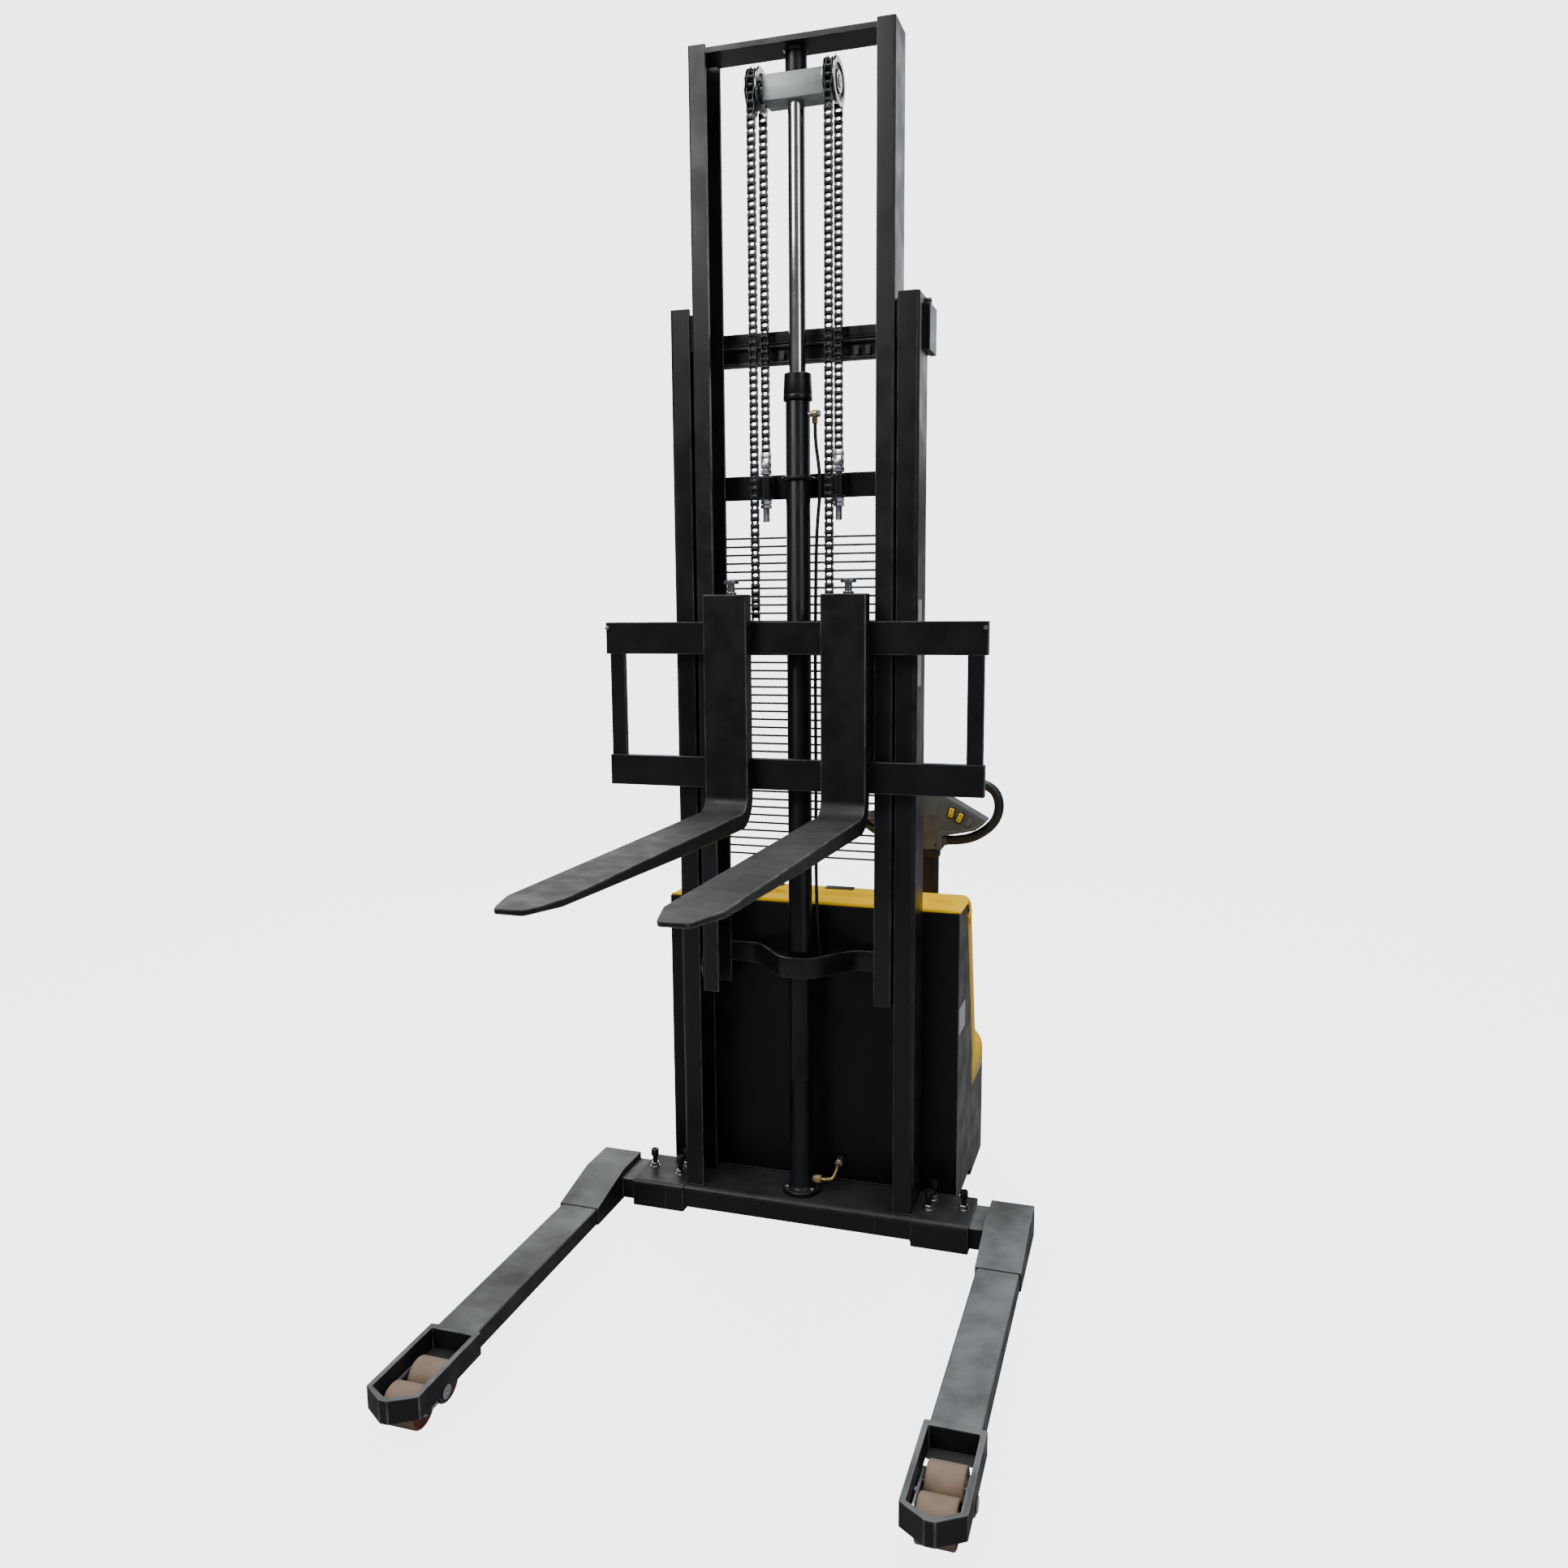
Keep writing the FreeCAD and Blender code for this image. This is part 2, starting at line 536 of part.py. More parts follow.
def mast_rollers():
    """The two rollers at the foot of the inner mast turn on stubs that share one line."""
    rollers = [
        ring(f"mast_roller_{word}", "x", ("channelMiddle", "mastRollerHeight"),
             sided(side, "innerHalf + 4", "outerHalf - outerWall - 3"),
             "mastRollerRadius", "stubRadius + runningFit")
        for word, side in SIDES.items()
    ]
    keep(group("mast_rollers", *rollers), "mast_rollers")


def crosshead():
    depth = ("cylinderPlace - crossheadDepth", "cylinderPlace + crossheadDepth")
    block = box("crosshead_block", ("-crossheadHalf", "crossheadHalf"), depth,
                ("crossheadBottom", "crossheadTop"))
    post = rod("crosshead_post", "z", (0, "cylinderPlace"), ("crossheadTop - 5", "topBarBottom"),
               "postRadius")
    pin_end = "chainPlace + pulleyGap + pulleyFlange + 2"
    pin = rod("crosshead_pin", "x", ("pulleyPlace", "pulleyHeight"), (f"-({pin_end})", pin_end), "pulleyPin")
    keep(fuse("crosshead", block, post, pin), "crosshead")


def chain_pulleys():
    centre = ("pulleyPlace", "pulleyHeight")
    pulleys = []
    for word, side in SIDES.items():
        name = f"chain_pulley_{word}"
        near = "chainPlace - pulleyGap"
        far = "chainPlace + pulleyGap"
        groove = rod(f"{name}_groove", "x", centre, sided(side, near, far), "pulleyRoot")
        inner_rim = rod(f"{name}_inner_rim", "x", centre, sided(side, f"{near} - pulleyFlange", near),
                        "pulleyRim")
        outer_rim = rod(f"{name}_outer_rim", "x", centre, sided(side, far, f"{far} + pulleyFlange"),
                        "pulleyRim")
        bore = rod(f"{name}_bore", "x", centre, sided(side, f"{near} - 5", f"{far} + 5"),
                   "pulleyPin + runningFit")
        pulleys.append(cut(name, fuse(f"{name}_solid", groove, inner_rim, outer_rim), bore))
    keep(group("chain_pulleys", *pulleys), "chain_pulleys")


def chain_strands(label, depth, low, high):
    strands = [
        box(f"{label}_{word}", sided(side, "chainPlace - chainHalfWidth", "chainPlace + chainHalfWidth"),
            (f"{depth} - chainHalfDepth", f"{depth} + chainHalfDepth"), (low, high))
        for word, side in SIDES.items()
    ]
    keep(group(label, *strands), label)


def chain_wraps():
    """The half turn of each chain that lies on its pulley."""
    wraps = []
    for word, side in SIDES.items():
        span = sided(side, "chainPlace - chainHalfWidth", "chainPlace + chainHalfWidth")
        hoop = ring(f"chain_hoop_{word}", "x", ("pulleyPlace", "pulleyHeight"), span,
                    "pitchRadius + chainHalfDepth", "pitchRadius - chainHalfDepth")
        upper = box(f"chain_upper_{word}", sided(side, 0, "2 * chainPlace"),
                    ("pulleyPlace - 2 * pitchRadius", "pulleyPlace + 2 * pitchRadius"),
                    ("pulleyHeight", "pulleyHeight + 2 * pitchRadius"))
        wraps.append(common(f"chain_wrap_{word}", hoop, upper))
    keep(group("chain_wraps", *wraps), "chain_wraps")


def carriage():
    depth = ("barFront", "barFront + barThickness")
    keep(box("carriage_top_bar", ("-topBarHalf", "topBarHalf"), depth, ("topRailBottom", "topRailTop")),
         "carriage_top_bar")
    keep(box("carriage_bottom_bar", ("-lowBarHalf", "lowBarHalf"), depth, ("lowRailBottom", "lowRailTop")),
         "carriage_bottom_bar")
    solids = []
    fixings = []
    for word, side in SIDES.items():
        solids.append(box(f"carriage_end_bar_{word}", sided(side, "endBarInner", "endBarOuter"),
                          ("barFront + 3", "barFront + barThickness - 3"), ("lowRailTop", "topRailBottom")))
        cheek = box(f"carriage_cheek_{word}",
                    sided(side, "cheekPlateInner", "cheekPlateInner + cheekPlateThickness"),
                    ("barFront + barThickness", "cheekPlateRear"), ("cheekPlateBottom", "cheekPlateTop"))
        stubs = [
            rod(f"carriage_stub_{word}_{height}", "x", ("carriageRollerPlace", height),
                sided(side, "cheekPlateInner + 5", "innerHalf - innerWall - 4"), "stubRadius")
            for height in ("upperRoller", "lowerRoller")
        ]
        solids.append(fuse(f"carriage_roller_plate_{word}", cheek, *stubs))
        fixings.append(box(f"chain_fixing_{word}", sided(side, "chainPlace - 12", "chainPlace + 12"),
                           ("barFront + barThickness", "mastFront + 10"),
                           ("topRailBottom + 8", "frontChainBottom")))
    keep(group("carriage_frame", *solids), "carriage_frame")
    keep(group("chain_fixings", *fixings), "chain_fixings")
    for word, height in (("upper", "upperRoller"), ("lower", "lowerRoller")):
        rollers = [
            ring(f"carriage_roller_{word}_{end}", "x", ("carriageRollerPlace", height),
                 sided(side, "cheekPlateInner + cheekPlateThickness + 3", "innerHalf - innerWall - 3"),
                 "carriageRollerRadius", "stubRadius + runningFit")
            for end, side in SIDES.items()
        ]
        keep(group(f"carriage_rollers_{word}", *rollers), f"carriage_rollers_{word}")


def forks():
    shank_front = "barFront - 0.5 - forkThickness"
    shank_rear = "barFront - 0.5"
    heel_bottom = "bladeTop - forkThickness"
    side_view = [
        (shank_front, "forkTop"), (shank_front, "bladeTop"),
        ("forkTip", "bladeTop"), ("forkTip", "tipBottom"),
        ("bladeMiddle", "bladeMiddleBottom"), (shank_rear, heel_bottom), (shank_rear, "forkTop"),
    ]
    hook_view = [
        (f"{shank_rear} - 1", "forkTop"), (f"{shank_rear} - 1", "topRailTop + 0.6"),
        ("barFront + barThickness + 1", "topRailTop + 0.6"), ("barFront + barThickness + 1", "hookBottom"),
        ("hookRear", "hookBottom"), ("hookRear", "forkTop"),
    ]
    for word, side in SIDES.items():
        name = f"fork_{word}"
        middle = f"{side} * forkPlace"
        arm = extrude(f"{name}_arm", "YZ_Plane", side_view, (f"{middle} - forkHalf", f"{middle} + forkHalf"),
                      [("heelInside", (1,)), ("heelOutside", (5,))])
        edge = [
            ("forkHalf", "hookRear + 5"), ("forkHalf", "taperStart"), ("tipHalf + 6", "forkTip + 12"),
            ("tipHalf", "forkTip"),
        ]
        plan = [(f"{middle} + {x}", y) for x, y in edge]
        plan += [(f"{middle} - ({x})", y) for x, y in reversed(edge)]
        tip = extrude(f"{name}_plan", "XY_Plane", plan, ("bladeTop - 60", "forkTop + 10"))
        hook = extrude(f"{name}_hook", "YZ_Plane", hook_view,
                       (f"{middle} - hookHalf", f"{middle} + hookHalf"))
        hole = rod(f"{name}_latch_hole", "z", (middle, "latchPlace"), ("topRailTop", "forkTop + 1"),
                   "latchRadius + runningFit")
        keep(cut(name, fuse(f"{name}_solid", common(f"{name}_blade", arm, tip), hook), hole), name)

        stem = rod(f"latch_stem_{word}", "z", (middle, "latchPlace"), ("topRailTop + 1", "latchTop - 8"),
                   "latchRadius")
        head = rod(f"latch_head_{word}", "z", (middle, "latchPlace"), ("latchTop - 8", "latchTop"),
                   "latchHead")
        collar = rod(f"latch_collar_{word}", "z", (middle, "latchPlace"), ("forkTop + 0.3", "forkTop + 5"),
                     "latchRadius + 4")
        keep(fuse(f"fork_latch_{word}", stem, head, collar), f"fork_latch_{word}")


def straddle_legs():
    shoulder_view = [
        ("shoulderRear", "legBottom"), ("shoulderRear", "shoulderTop"), ("shoulderFlat", "shoulderTop"),
        ("shoulderToe", "shoulderToeTop"), ("shoulderToe", "legBottom"),
    ]
    middle = "(noseInner + noseOuter) / 2"
    outer_nose = [
        ("noseInner", "noseRear"), ("noseOuter", "noseRear"), ("noseOuter", "noseBend"),
        (f"{middle} + noseTipHalf", "noseTip"), (f"{middle} - noseTipHalf", "noseTip"),
        ("noseInner", "noseBend"),
    ]
    inner_nose = [
        ("noseInner + noseWall", "noseRear - noseWall - 3"),
        ("noseOuter - noseWall", "noseRear - noseWall - 3"),
        ("noseOuter - noseWall", "noseBend + 4"), (f"{middle} + noseTipHalf - 3", "noseTip + noseWall + 1"),
        (f"{middle} - noseTipHalf + 3", "noseTip + noseWall + 1"), ("noseInner + noseWall", "noseBend + 4"),
    ]
    for word, side in SIDES.items():
        name = f"leg_{word}"
        cross_tube = box(f"{name}_cross_tube", sided(side, "armRoot", "legInner + 4"),
                         ("armFront", "armRear"), ("armBottom", "armTop"))
        shoulder = extrude(f"{name}_shoulder", "YZ_Plane", shoulder_view, sided(side, "legInner", "legOuter"))
        tube = box(f"{name}_tube", sided(side, "legTubeInner", "legTubeOuter"),
                   ("noseRear - 2", "shoulderToe + 2"), ("legTubeBottom", "legTubeTop"))
        nose = extrude(f"{name}_nose", "XY_Plane", [(f"{side} * ({x})", y) for x, y in outer_nose],
                       ("noseBottom", "noseTop"))
        lobes = [
            rod(f"{name}_lobe_{number}", "x", ("pivotPlace", "pivotHeight"), sided(side, low, high),
                "lobeRadius")
            for number, (low, high) in enumerate((("noseInner", "noseInner + noseWall"),
                                                  ("noseOuter - noseWall", "noseOuter")))
        ]
        well = extrude(f"{name}_well", "XY_Plane", [(f"{side} * ({x})", y) for x, y in inner_nose],
                       ("noseBottom - 30", "noseTop + 10"))
        pivot_hole = rod(f"{name}_pivot_hole", "x", ("pivotPlace", "pivotHeight"),
                         sided(side, "noseInner - 5", "noseOuter + 5"), "pivotRadius + runningFit")
        solid = fuse(f"{name}_solid", cross_tube, shoulder, tube, nose, *lobes)
        keep(cut(name, solid, well, pivot_hole), name)


def bogies():
    """Each leg stands on two tandem rollers whose frame rocks on a pin in the leg's nose."""
    for word, side in SIDES.items():
        links = []
        for number, (low, high, pin_low, pin_high) in enumerate((
            ("linkInner", "linkInner + linkThickness", "noseInner - 3", "linkInner + linkThickness"),
            ("linkOuter - linkThickness", "linkOuter", "linkOuter - linkThickness", "noseOuter + 3"),
        )):
            plate = box(f"bogie_plate_{word}_{number}", sided(side, low, high),
                        ("pivotPlace - axleSpread - 14", "pivotPlace + axleSpread + 14"),
                        ("rollerRadius - 12", "pivotHeight + 14"))
            pin = rod(f"bogie_pin_{word}_{number}", "x", ("pivotPlace", "pivotHeight"),
                      sided(side, pin_low, pin_high), "pivotRadius")
            links += [plate, pin]
        axles = [
            rod(f"bogie_axle_{word}_{end}", "x", (f"pivotPlace + {step} * axleSpread", "rollerRadius"),
                sided(side, "linkInner", "linkOuter"), "axleRadius")
            for end, step in (("front", -1), ("rear", 1))
        ]
        keep(fuse(f"bogie_{word}", *links, *axles), f"bogie_{word}")
        for end, step in (("front", -1), ("rear", 1)):
            name = f"load_roller_{word}_{end}"
            roller = ring(name, "x", (f"pivotPlace + {step} * axleSpread", "rollerRadius"),
                          sided(side, "rollerInner", "rollerOuter"), "rollerRadius",
                          "axleRadius + runningFit")
            keep(roller, name)


def battery_box():
    """Black steel box: front wall, floor and two side walls whose rear edges lean back."""
    outside = [
        ("boxFront", "boxBottom"), ("boxFront", "boxTop"), ("boxTopRear", "boxTop"),
        ("boxLowRear", "boxSlopeFoot"), ("boxLowRear", "boxBottom"),
    ]
    inside = [
        ("boxFront + sheetMetal", "boxBottom + sheetMetal"), ("boxFront + sheetMetal", "boxTop + 20"),
        ("boxLowRear + 60", "boxTop + 20"), ("boxLowRear + 60", "boxBottom + sheetMetal"),
    ]
    shell = extrude("battery_box_outside", "YZ_Plane", outside, ("-boxHalf", "boxHalf"))
    hollow = extrude("battery_box_inside", "YZ_Plane", inside,
                     ("-(boxHalf - sheetMetal)", "boxHalf - sheetMetal"))
    keep(cut("battery_box", shell, hollow), "battery_box")


def hood():
    """The yellow cover behind and over the battery box."""
    outside = [
        ("boxFront", "boxTop + 0.5"), ("boxFront", "coverTop"), ("coverCrest", "coverTop"),
        ("coverShoulder", "coverTop - 14"), ("coverRear", "coverFoot"), ("boxLowRear + 1.5", "coverFoot"),
        ("boxTopRear + 2", "boxTop + 0.5"),
    ]
    inside = [
        ("boxFront + coverWall", "coverFoot - 20"), ("boxFront + coverWall", "coverTop - coverWall"),
        ("coverCrest - 1", "coverTop - coverWall"), ("coverShoulder - 3", "coverTop - 14 - coverWall"),
        ("coverRear - coverWall", "coverFoot"), ("coverRear - coverWall", "coverFoot - 20"),
    ]
    shell = extrude("hood_outside", "YZ_Plane", outside, ("-boxHalf", "boxHalf"))
    hollow = extrude("hood_inside", "YZ_Plane", inside, ("-(boxHalf - coverWall)", "boxHalf - coverWall"))
    holes = [
        rod(f"hood_hole_{word}", "z", (across, "controlDepth"), ("coverTop - 10", "coverTop + 1"),
            "keyStem + runningFit")
        for word, across in (("key", "keyPlace"), ("stop", "stopPlace"))
    ]
    keep(cut("top_cover", shell, hollow, *holes), "top_cover")


def rounded_tub(name, inset, front, z):
    """A block with two rounded rear corners, drawn in from the skirt's outline by an inset."""
    half = f"boxHalf - {inset}"
    outline = [(f"-({half})", front), (half, front), (half, f"skirtRear - {inset}"),
               (f"-({half})", f"skirtRear - {inset}")]
    return extrude(name, "XY_Plane", outline, z, [(f"skirtCorner - {inset}", (2, 3))])


def chassis():
    front = "boxLowRear + 0.5"
    steer = ("steerPlace", "steerDepth")
    stabiliser = ("-steerPlace", "steerDepth")
    plate_span = ("bearingPlateBottom", "bearingPlateTop")
    wall = rounded_tub("skirt_outside", 0, front, ("skirtBottom", "skirtTop"))
    room = rounded_tub("skirt_inside", "sheetMetal", "boxLowRear + 6", ("skirtBottom - 1", "skirtTop + 1"))
    plate = rounded_tub("bearing_plate", "sheetMetal - 1", "boxLowRear + 5", plate_span)
    floor = box("battery_floor", ("-(boxHalf - sheetMetal)", "boxHalf - sheetMetal"),
                ("beamRear", "boxLowRear + 5"), ("boxBottom - 12", "boxBottom"))
    solid = fuse("chassis_solid", cut("skirt", wall, room), plate, floor)
    clear = ("bearingPlateBottom - 1", "bearingPlateTop + 1")
    neck_hole = rod("neck_hole", "z", steer, clear, "neckRadius + runningFit")
    stem_hole = rod("stem_hole", "z", stabiliser, clear, "stemRadius + runningFit")
    keep(cut("chassis", solid, neck_hole, stem_hole), "chassis")

    lid = rounded_tub("deck_cover_outside", 0, "boxLowRear + 3", ("skirtTop + 1", "deckCoverTop"))
    under = rounded_tub("deck_cover_inside", "coverWall", "boxLowRear + 7",
                        ("skirtTop", "deckCoverTop - coverWall"))
    opening = rod("deck_cover_opening", "z", steer, ("deckCoverTop - 20", "deckCoverTop + 1"), "coverHole")
    keep(cut("rear_cover", lid, under, opening), "rear_cover")


def power_section():
    floor = "boxBottom + sheetMetal"
    keep(box("battery", (-320, 320), ("boxFront + 12", "boxLowRear - 24"), (floor, f"{floor} + 238")),
         "battery")
    shelf = f"{floor} + 240"
    tank = box("oil_tank", (40, 310), ("boxFront + 12", "boxFront + 112"),
               (f"{shelf} + 60", f"{shelf} + 300"))
    motor = rod("pump_motor", "x", ("boxFront + 70", f"{shelf} + 180"), (-130, 10), 55)
    pump = box("gear_pump", (10, 40), ("boxFront + 40", "boxFront + 100"),
               (f"{shelf} + 140", f"{shelf} + 220"))
    controller = box("drive_controller", (-320, -170), ("boxFront + 12", "boxFront + 72"),
                     (f"{shelf} + 80", f"{shelf} + 280"))
    bracket = box("power_shelf", (-340, 340), ("boxFront + sheetMetal", "boxFront + 120"),
                  (f"{shelf} + 48", f"{shelf} + 60"))
    keep(group("power_pack", fuse("power_unit", tank, motor, pump, bracket), controller), "power_pack")


def drive_unit():
    steer = ("steerPlace", "steerDepth")
    wheel_top = "2 * driveRadius"
    side_gap = "steerPlace + driveHalfWidth + 3"
    neck = rod("drive_neck", "z", steer, (f"{wheel_top} + 6", "bearingPlateTop + 18"), "neckRadius")
    flange = rod("drive_flange", "z", steer, ("bearingPlateTop + 0.4", "bearingPlateTop + 12"),
                 "neckRadius + 20")
    gearbox = box("drive_gearbox", (side_gap, f"{side_gap} + 34"), ("steerDepth - 36", "steerDepth + 36"),
                  ("driveRadius - 34", f"{wheel_top} + 14"))
    crown = box("drive_crown", ("steerPlace - 40", f"{side_gap} + 34"),
                ("steerDepth - 46", "steerDepth + 46"),
                (f"{wheel_top} + 6", f"{wheel_top} + 20"))
    axle = rod("drive_axle", "x", ("steerDepth", "driveRadius"),
               ("steerPlace - driveHalfWidth + 4", f"{side_gap} + 5"),
               "driveAxle")
    motor = rod("drive_motor", "z", steer, ("bearingPlateTop + 17", "motorTop"), "motorRadius")
    seat = box("tiller_seat", ("steerPlace - 42", "steerPlace + 42"), ("steerDepth - 34", "steerDepth + 34"),
               ("motorTop", "motorTop + 10"))
    ears = [
        box(f"tiller_ear_{word}", (f"steerPlace + {low}", f"steerPlace + {high}"),
            ("steerDepth - 24", "steerDepth + 24"), ("motorTop + 8", "tillerPivot + 20"))
        for word, low, high in (("left", -42, -34), ("right", 34, 42))
    ]
    pin = rod("tiller_pin", "x", ("steerDepth", "tillerPivot"), ("steerPlace - 46", "steerPlace + 46"),
              "tillerPin")
    keep(fuse("drive_unit", neck, flange, gearbox, crown, axle, motor, seat, *ears, pin), "drive_unit")
    keep(ring("drive_wheel", "x", ("steerDepth", "driveRadius"),
              ("steerPlace - driveHalfWidth", "steerPlace + driveHalfWidth"), "driveRadius",
              "driveAxle + runningFit"), "drive_wheel")


def stabiliser():
    """A trailing castor on the side away from the drive wheel."""
    middle = "-steerPlace"
    axle_place = ("steerDepth + casterTrail", "casterRadius")
    stem = rod("caster_stem", "z", (middle, "steerDepth"),
               ("2 * casterRadius + 20", "bearingPlateTop + 6"), "stemRadius")
    crown = box("caster_crown", (f"{middle} - 30", f"{middle} + 30"),
                ("steerDepth - 20", "steerDepth + casterTrail + 22"),
                ("2 * casterRadius + 18", "2 * casterRadius + 30"))
    collar = rod("caster_collar", "z", (middle, "steerDepth"),
                 ("2 * casterRadius + 28", "bearingPlateBottom - 0.5"),
                 "stemRadius + 12")
    legs = [
        box(f"caster_leg_{word}", (f"{middle} + {low}", f"{middle} + {high}"),
            ("steerDepth + casterTrail - 18", "steerDepth + casterTrail + 18"),
            ("casterRadius - 16", "2 * casterRadius + 20"))
        for word, low, high in (("left", -30, -24), ("right", 24, 30))
    ]
    axle = rod("caster_axle", "x", axle_place, (f"{middle} - 26", f"{middle} + 26"), "axleRadius")
    keep(fuse("caster_fork", stem, crown, collar, *legs, axle), "caster_fork")
    keep(ring("caster_wheel", "x", axle_place, (f"{middle} - casterHalfWidth", f"{middle} + casterHalfWidth"),
              "casterRadius", "axleRadius + runningFit"), "caster_wheel")


def tiller():
    span = ("steerPlace - armHalfWidth", "steerPlace + armHalfWidth")
    bar = box("tiller_bar", span, ("steerDepth - armHalfDepth", "steerDepth + armHalfDepth"),
              ("tillerPivot", "armTopEnd"))
    knuckle = rod("tiller_knuckle", "x", ("steerDepth", "tillerPivot"), span, "armHalfDepth")
    eye = rod("tiller_eye", "x", ("steerDepth", "tillerPivot"), ("steerPlace - 50", "steerPlace + 50"),
              "tillerPin + runningFit")
    keep(cut("tiller_arm", fuse("tiller_arm_solid", bar, knuckle), eye), "tiller_arm")

    right_edge = [
        ("headHalf", "armTopEnd"), ("headHalf", "armTopEnd + 37"), ("wingTip - 32", "armTopEnd + 55"),
        ("wingTip - 14", "armTopEnd + 68"), ("wingTip", "wingTipHeight"), ("headHalf + 5", "wingRoot"),
        ("headHalf", "wingRoot + 9"), ("headHalf", "headTop"),
    ]
    outline = [(f"steerPlace + {x}", z) for x, z in right_edge]
    outline += [(f"steerPlace - ({x})", z) for x, z in reversed(right_edge)]
    shell = extrude("tiller_head_shell", "XZ_Plane", outline,
                    ("steerDepth - headHalfDepth", "steerDepth + headHalfDepth"))
    shaft_depth = "steerDepth + headHalfDepth + throttleRadius + 2"
    ears = [
        box(f"throttle_ear_{word}", (f"steerPlace + {low}", f"steerPlace + {high}"),
            ("steerDepth + headHalfDepth - 1", f"{shaft_depth} + 8"), ("throttleHeight - 9",
                                                                       "throttleHeight + 9"))
        for word, low, high in (("left", -43, -37), ("right", 37, 43))
    ]
    bore = rod("throttle_bore", "x", (shaft_depth, "throttleHeight"), ("steerPlace - 60", "steerPlace + 60"),
               "axleRadius - 3 + runningFit")
    face = "steerDepth - headHalfDepth"
    wells = [
        box(f"{word}_well", (f"steerPlace + {across} - 7.4", f"steerPlace + {across} + 7.4"),
            (f"{face} - 1", f"{face} + 2 * buttonDepth"), (f"{height} - 12.4", f"{height} + 12.4"))
        for word, (across, height) in BUTTONS.items()
    ]
    wells.append(box("belly_switch_well", ("steerPlace - 34.5", "steerPlace + 34.5"),
                     ("steerDepth - 18.5", "steerDepth + 18.5"), ("headTop - 11", "headTop + 1")))
    keep(cut("tiller_head", fuse("tiller_head_solid", shell, *ears), bore, *wells), "tiller_head")

    barrel = rod("throttle_barrel", "x", (shaft_depth, "throttleHeight"),
                 ("steerPlace - 36", "steerPlace + 36"),
                 "throttleRadius")
    shaft = rod("throttle_shaft", "x", (shaft_depth, "throttleHeight"),
                ("steerPlace - 42", "steerPlace + 42"),
                "axleRadius - 3")
    paddles = [
        box(f"throttle_paddle_{word}", (f"steerPlace + {low}", f"steerPlace + {high}"),
            (shaft_depth, f"{shaft_depth} + 30"), ("throttleHeight - 4", "throttleHeight + 4"))
        for word, low, high in (("left", -34, -8), ("right", 8, 34))
    ]
    keep(fuse("throttle", barrel, shaft, *paddles), "throttle")
    keep(box("belly_switch", ("steerPlace - 34", "steerPlace + 34"), ("steerDepth - 18", "steerDepth + 18"),
             ("headTop - 3", "headTop + 20")), "belly_switch")


def handle_loops():
    """Grip tubes that leave the head low, run round outside the wings and come back at its top."""
    middle = size("steerPlace")
    depth = size("steerDepth")
    head = size("headHalf")
    low = size("armTopEnd") + 24
    tip = size("wingTip")
    top = size("headTop") - 17
    loops = []
    for word, side in SIDES.items():
        profile = [
            (head, low), (head + 38, low), (head + 88, low + 14), (tip + 17, low + 51), (tip + 29, low + 97),
            (tip + 13, low + 139), (tip - 36, top), (head, top),
        ]
        route = [FreeCAD.Vector(middle + side * x, depth, z) for x, z in profile]
        loops.append(pipe(f"handle_loop_{word}", route, size("gripRadius")))
    keep(group("tiller_handle", *loops), "tiller_handle")


def push_controls():
    """Buttons on the front of the head's right wing, and the key and stop on the hood."""
    face = "steerDepth - headHalfDepth"
    for word, (across, height) in BUTTONS.items():
        keep(box(word, (f"steerPlace + {across} - 7", f"steerPlace + {across} + 7"),
                 (f"{face} - 4", f"{face} + buttonDepth"), (f"{height} - 12", f"{height} + 12")), word)
    for word, across, radius, lift in (("key_switch", "keyPlace", 15, 14),
                                       ("emergency_stop", "stopPlace", 20, 30)):
        centre = (across, "controlDepth")
        stem = rod(f"{word}_stem", "z", centre, ("coverTop - 22", "coverTop + 6"), "keyStem")
        head = rod(f"{word}_head", "z", centre, ("coverTop + 5", f"coverTop + {lift}"), radius)
        keep(fuse(word, stem, head), word)


outer_mast()
top_tie()
middle_tie()
middle_tie_hardware()
base_beam()
leg_clamp_bolts()
guard_mesh()
lift_cylinder()
hydraulic_fittings()
leak_off_hose()
inner_mast()
mast_rollers()
crosshead()
chain_pulleys()
chain_wraps()
chain_strands("rear_chains", "pulleyPlace + pitchRadius", "anchorTop", "pulleyHeight - 0.3")
chain_strands("front_chains", "pulleyPlace - pitchRadius", "frontChainBottom", "pulleyHeight - 0.3")
carriage()
forks()
straddle_legs()
bogies()
battery_box()
hood()
chassis()
power_section()
drive_unit()
stabiliser()
tiller()
handle_loops()
push_controls()
document.recompute()

for item in document.Objects:
    if {"Invalid", "Error"} & set(item.State):
        raise RuntimeError(f"{item.Name} did not rebuild: {item.State}")
for item in subparts:
    if item.Shape.isNull() or not item.Shape.isValid():
        raise RuntimeError(f"{item.Label} has no valid shape")

os.makedirs("parts", exist_ok=True)
for item in subparts:
    item.Shape.exportStep(f"parts/{item.Label}.step")
print(f"{len(subparts)} sub-parts written")
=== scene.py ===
import json
import math
import bmesh
import bpy
from mathutils import Euler, Matrix, Vector

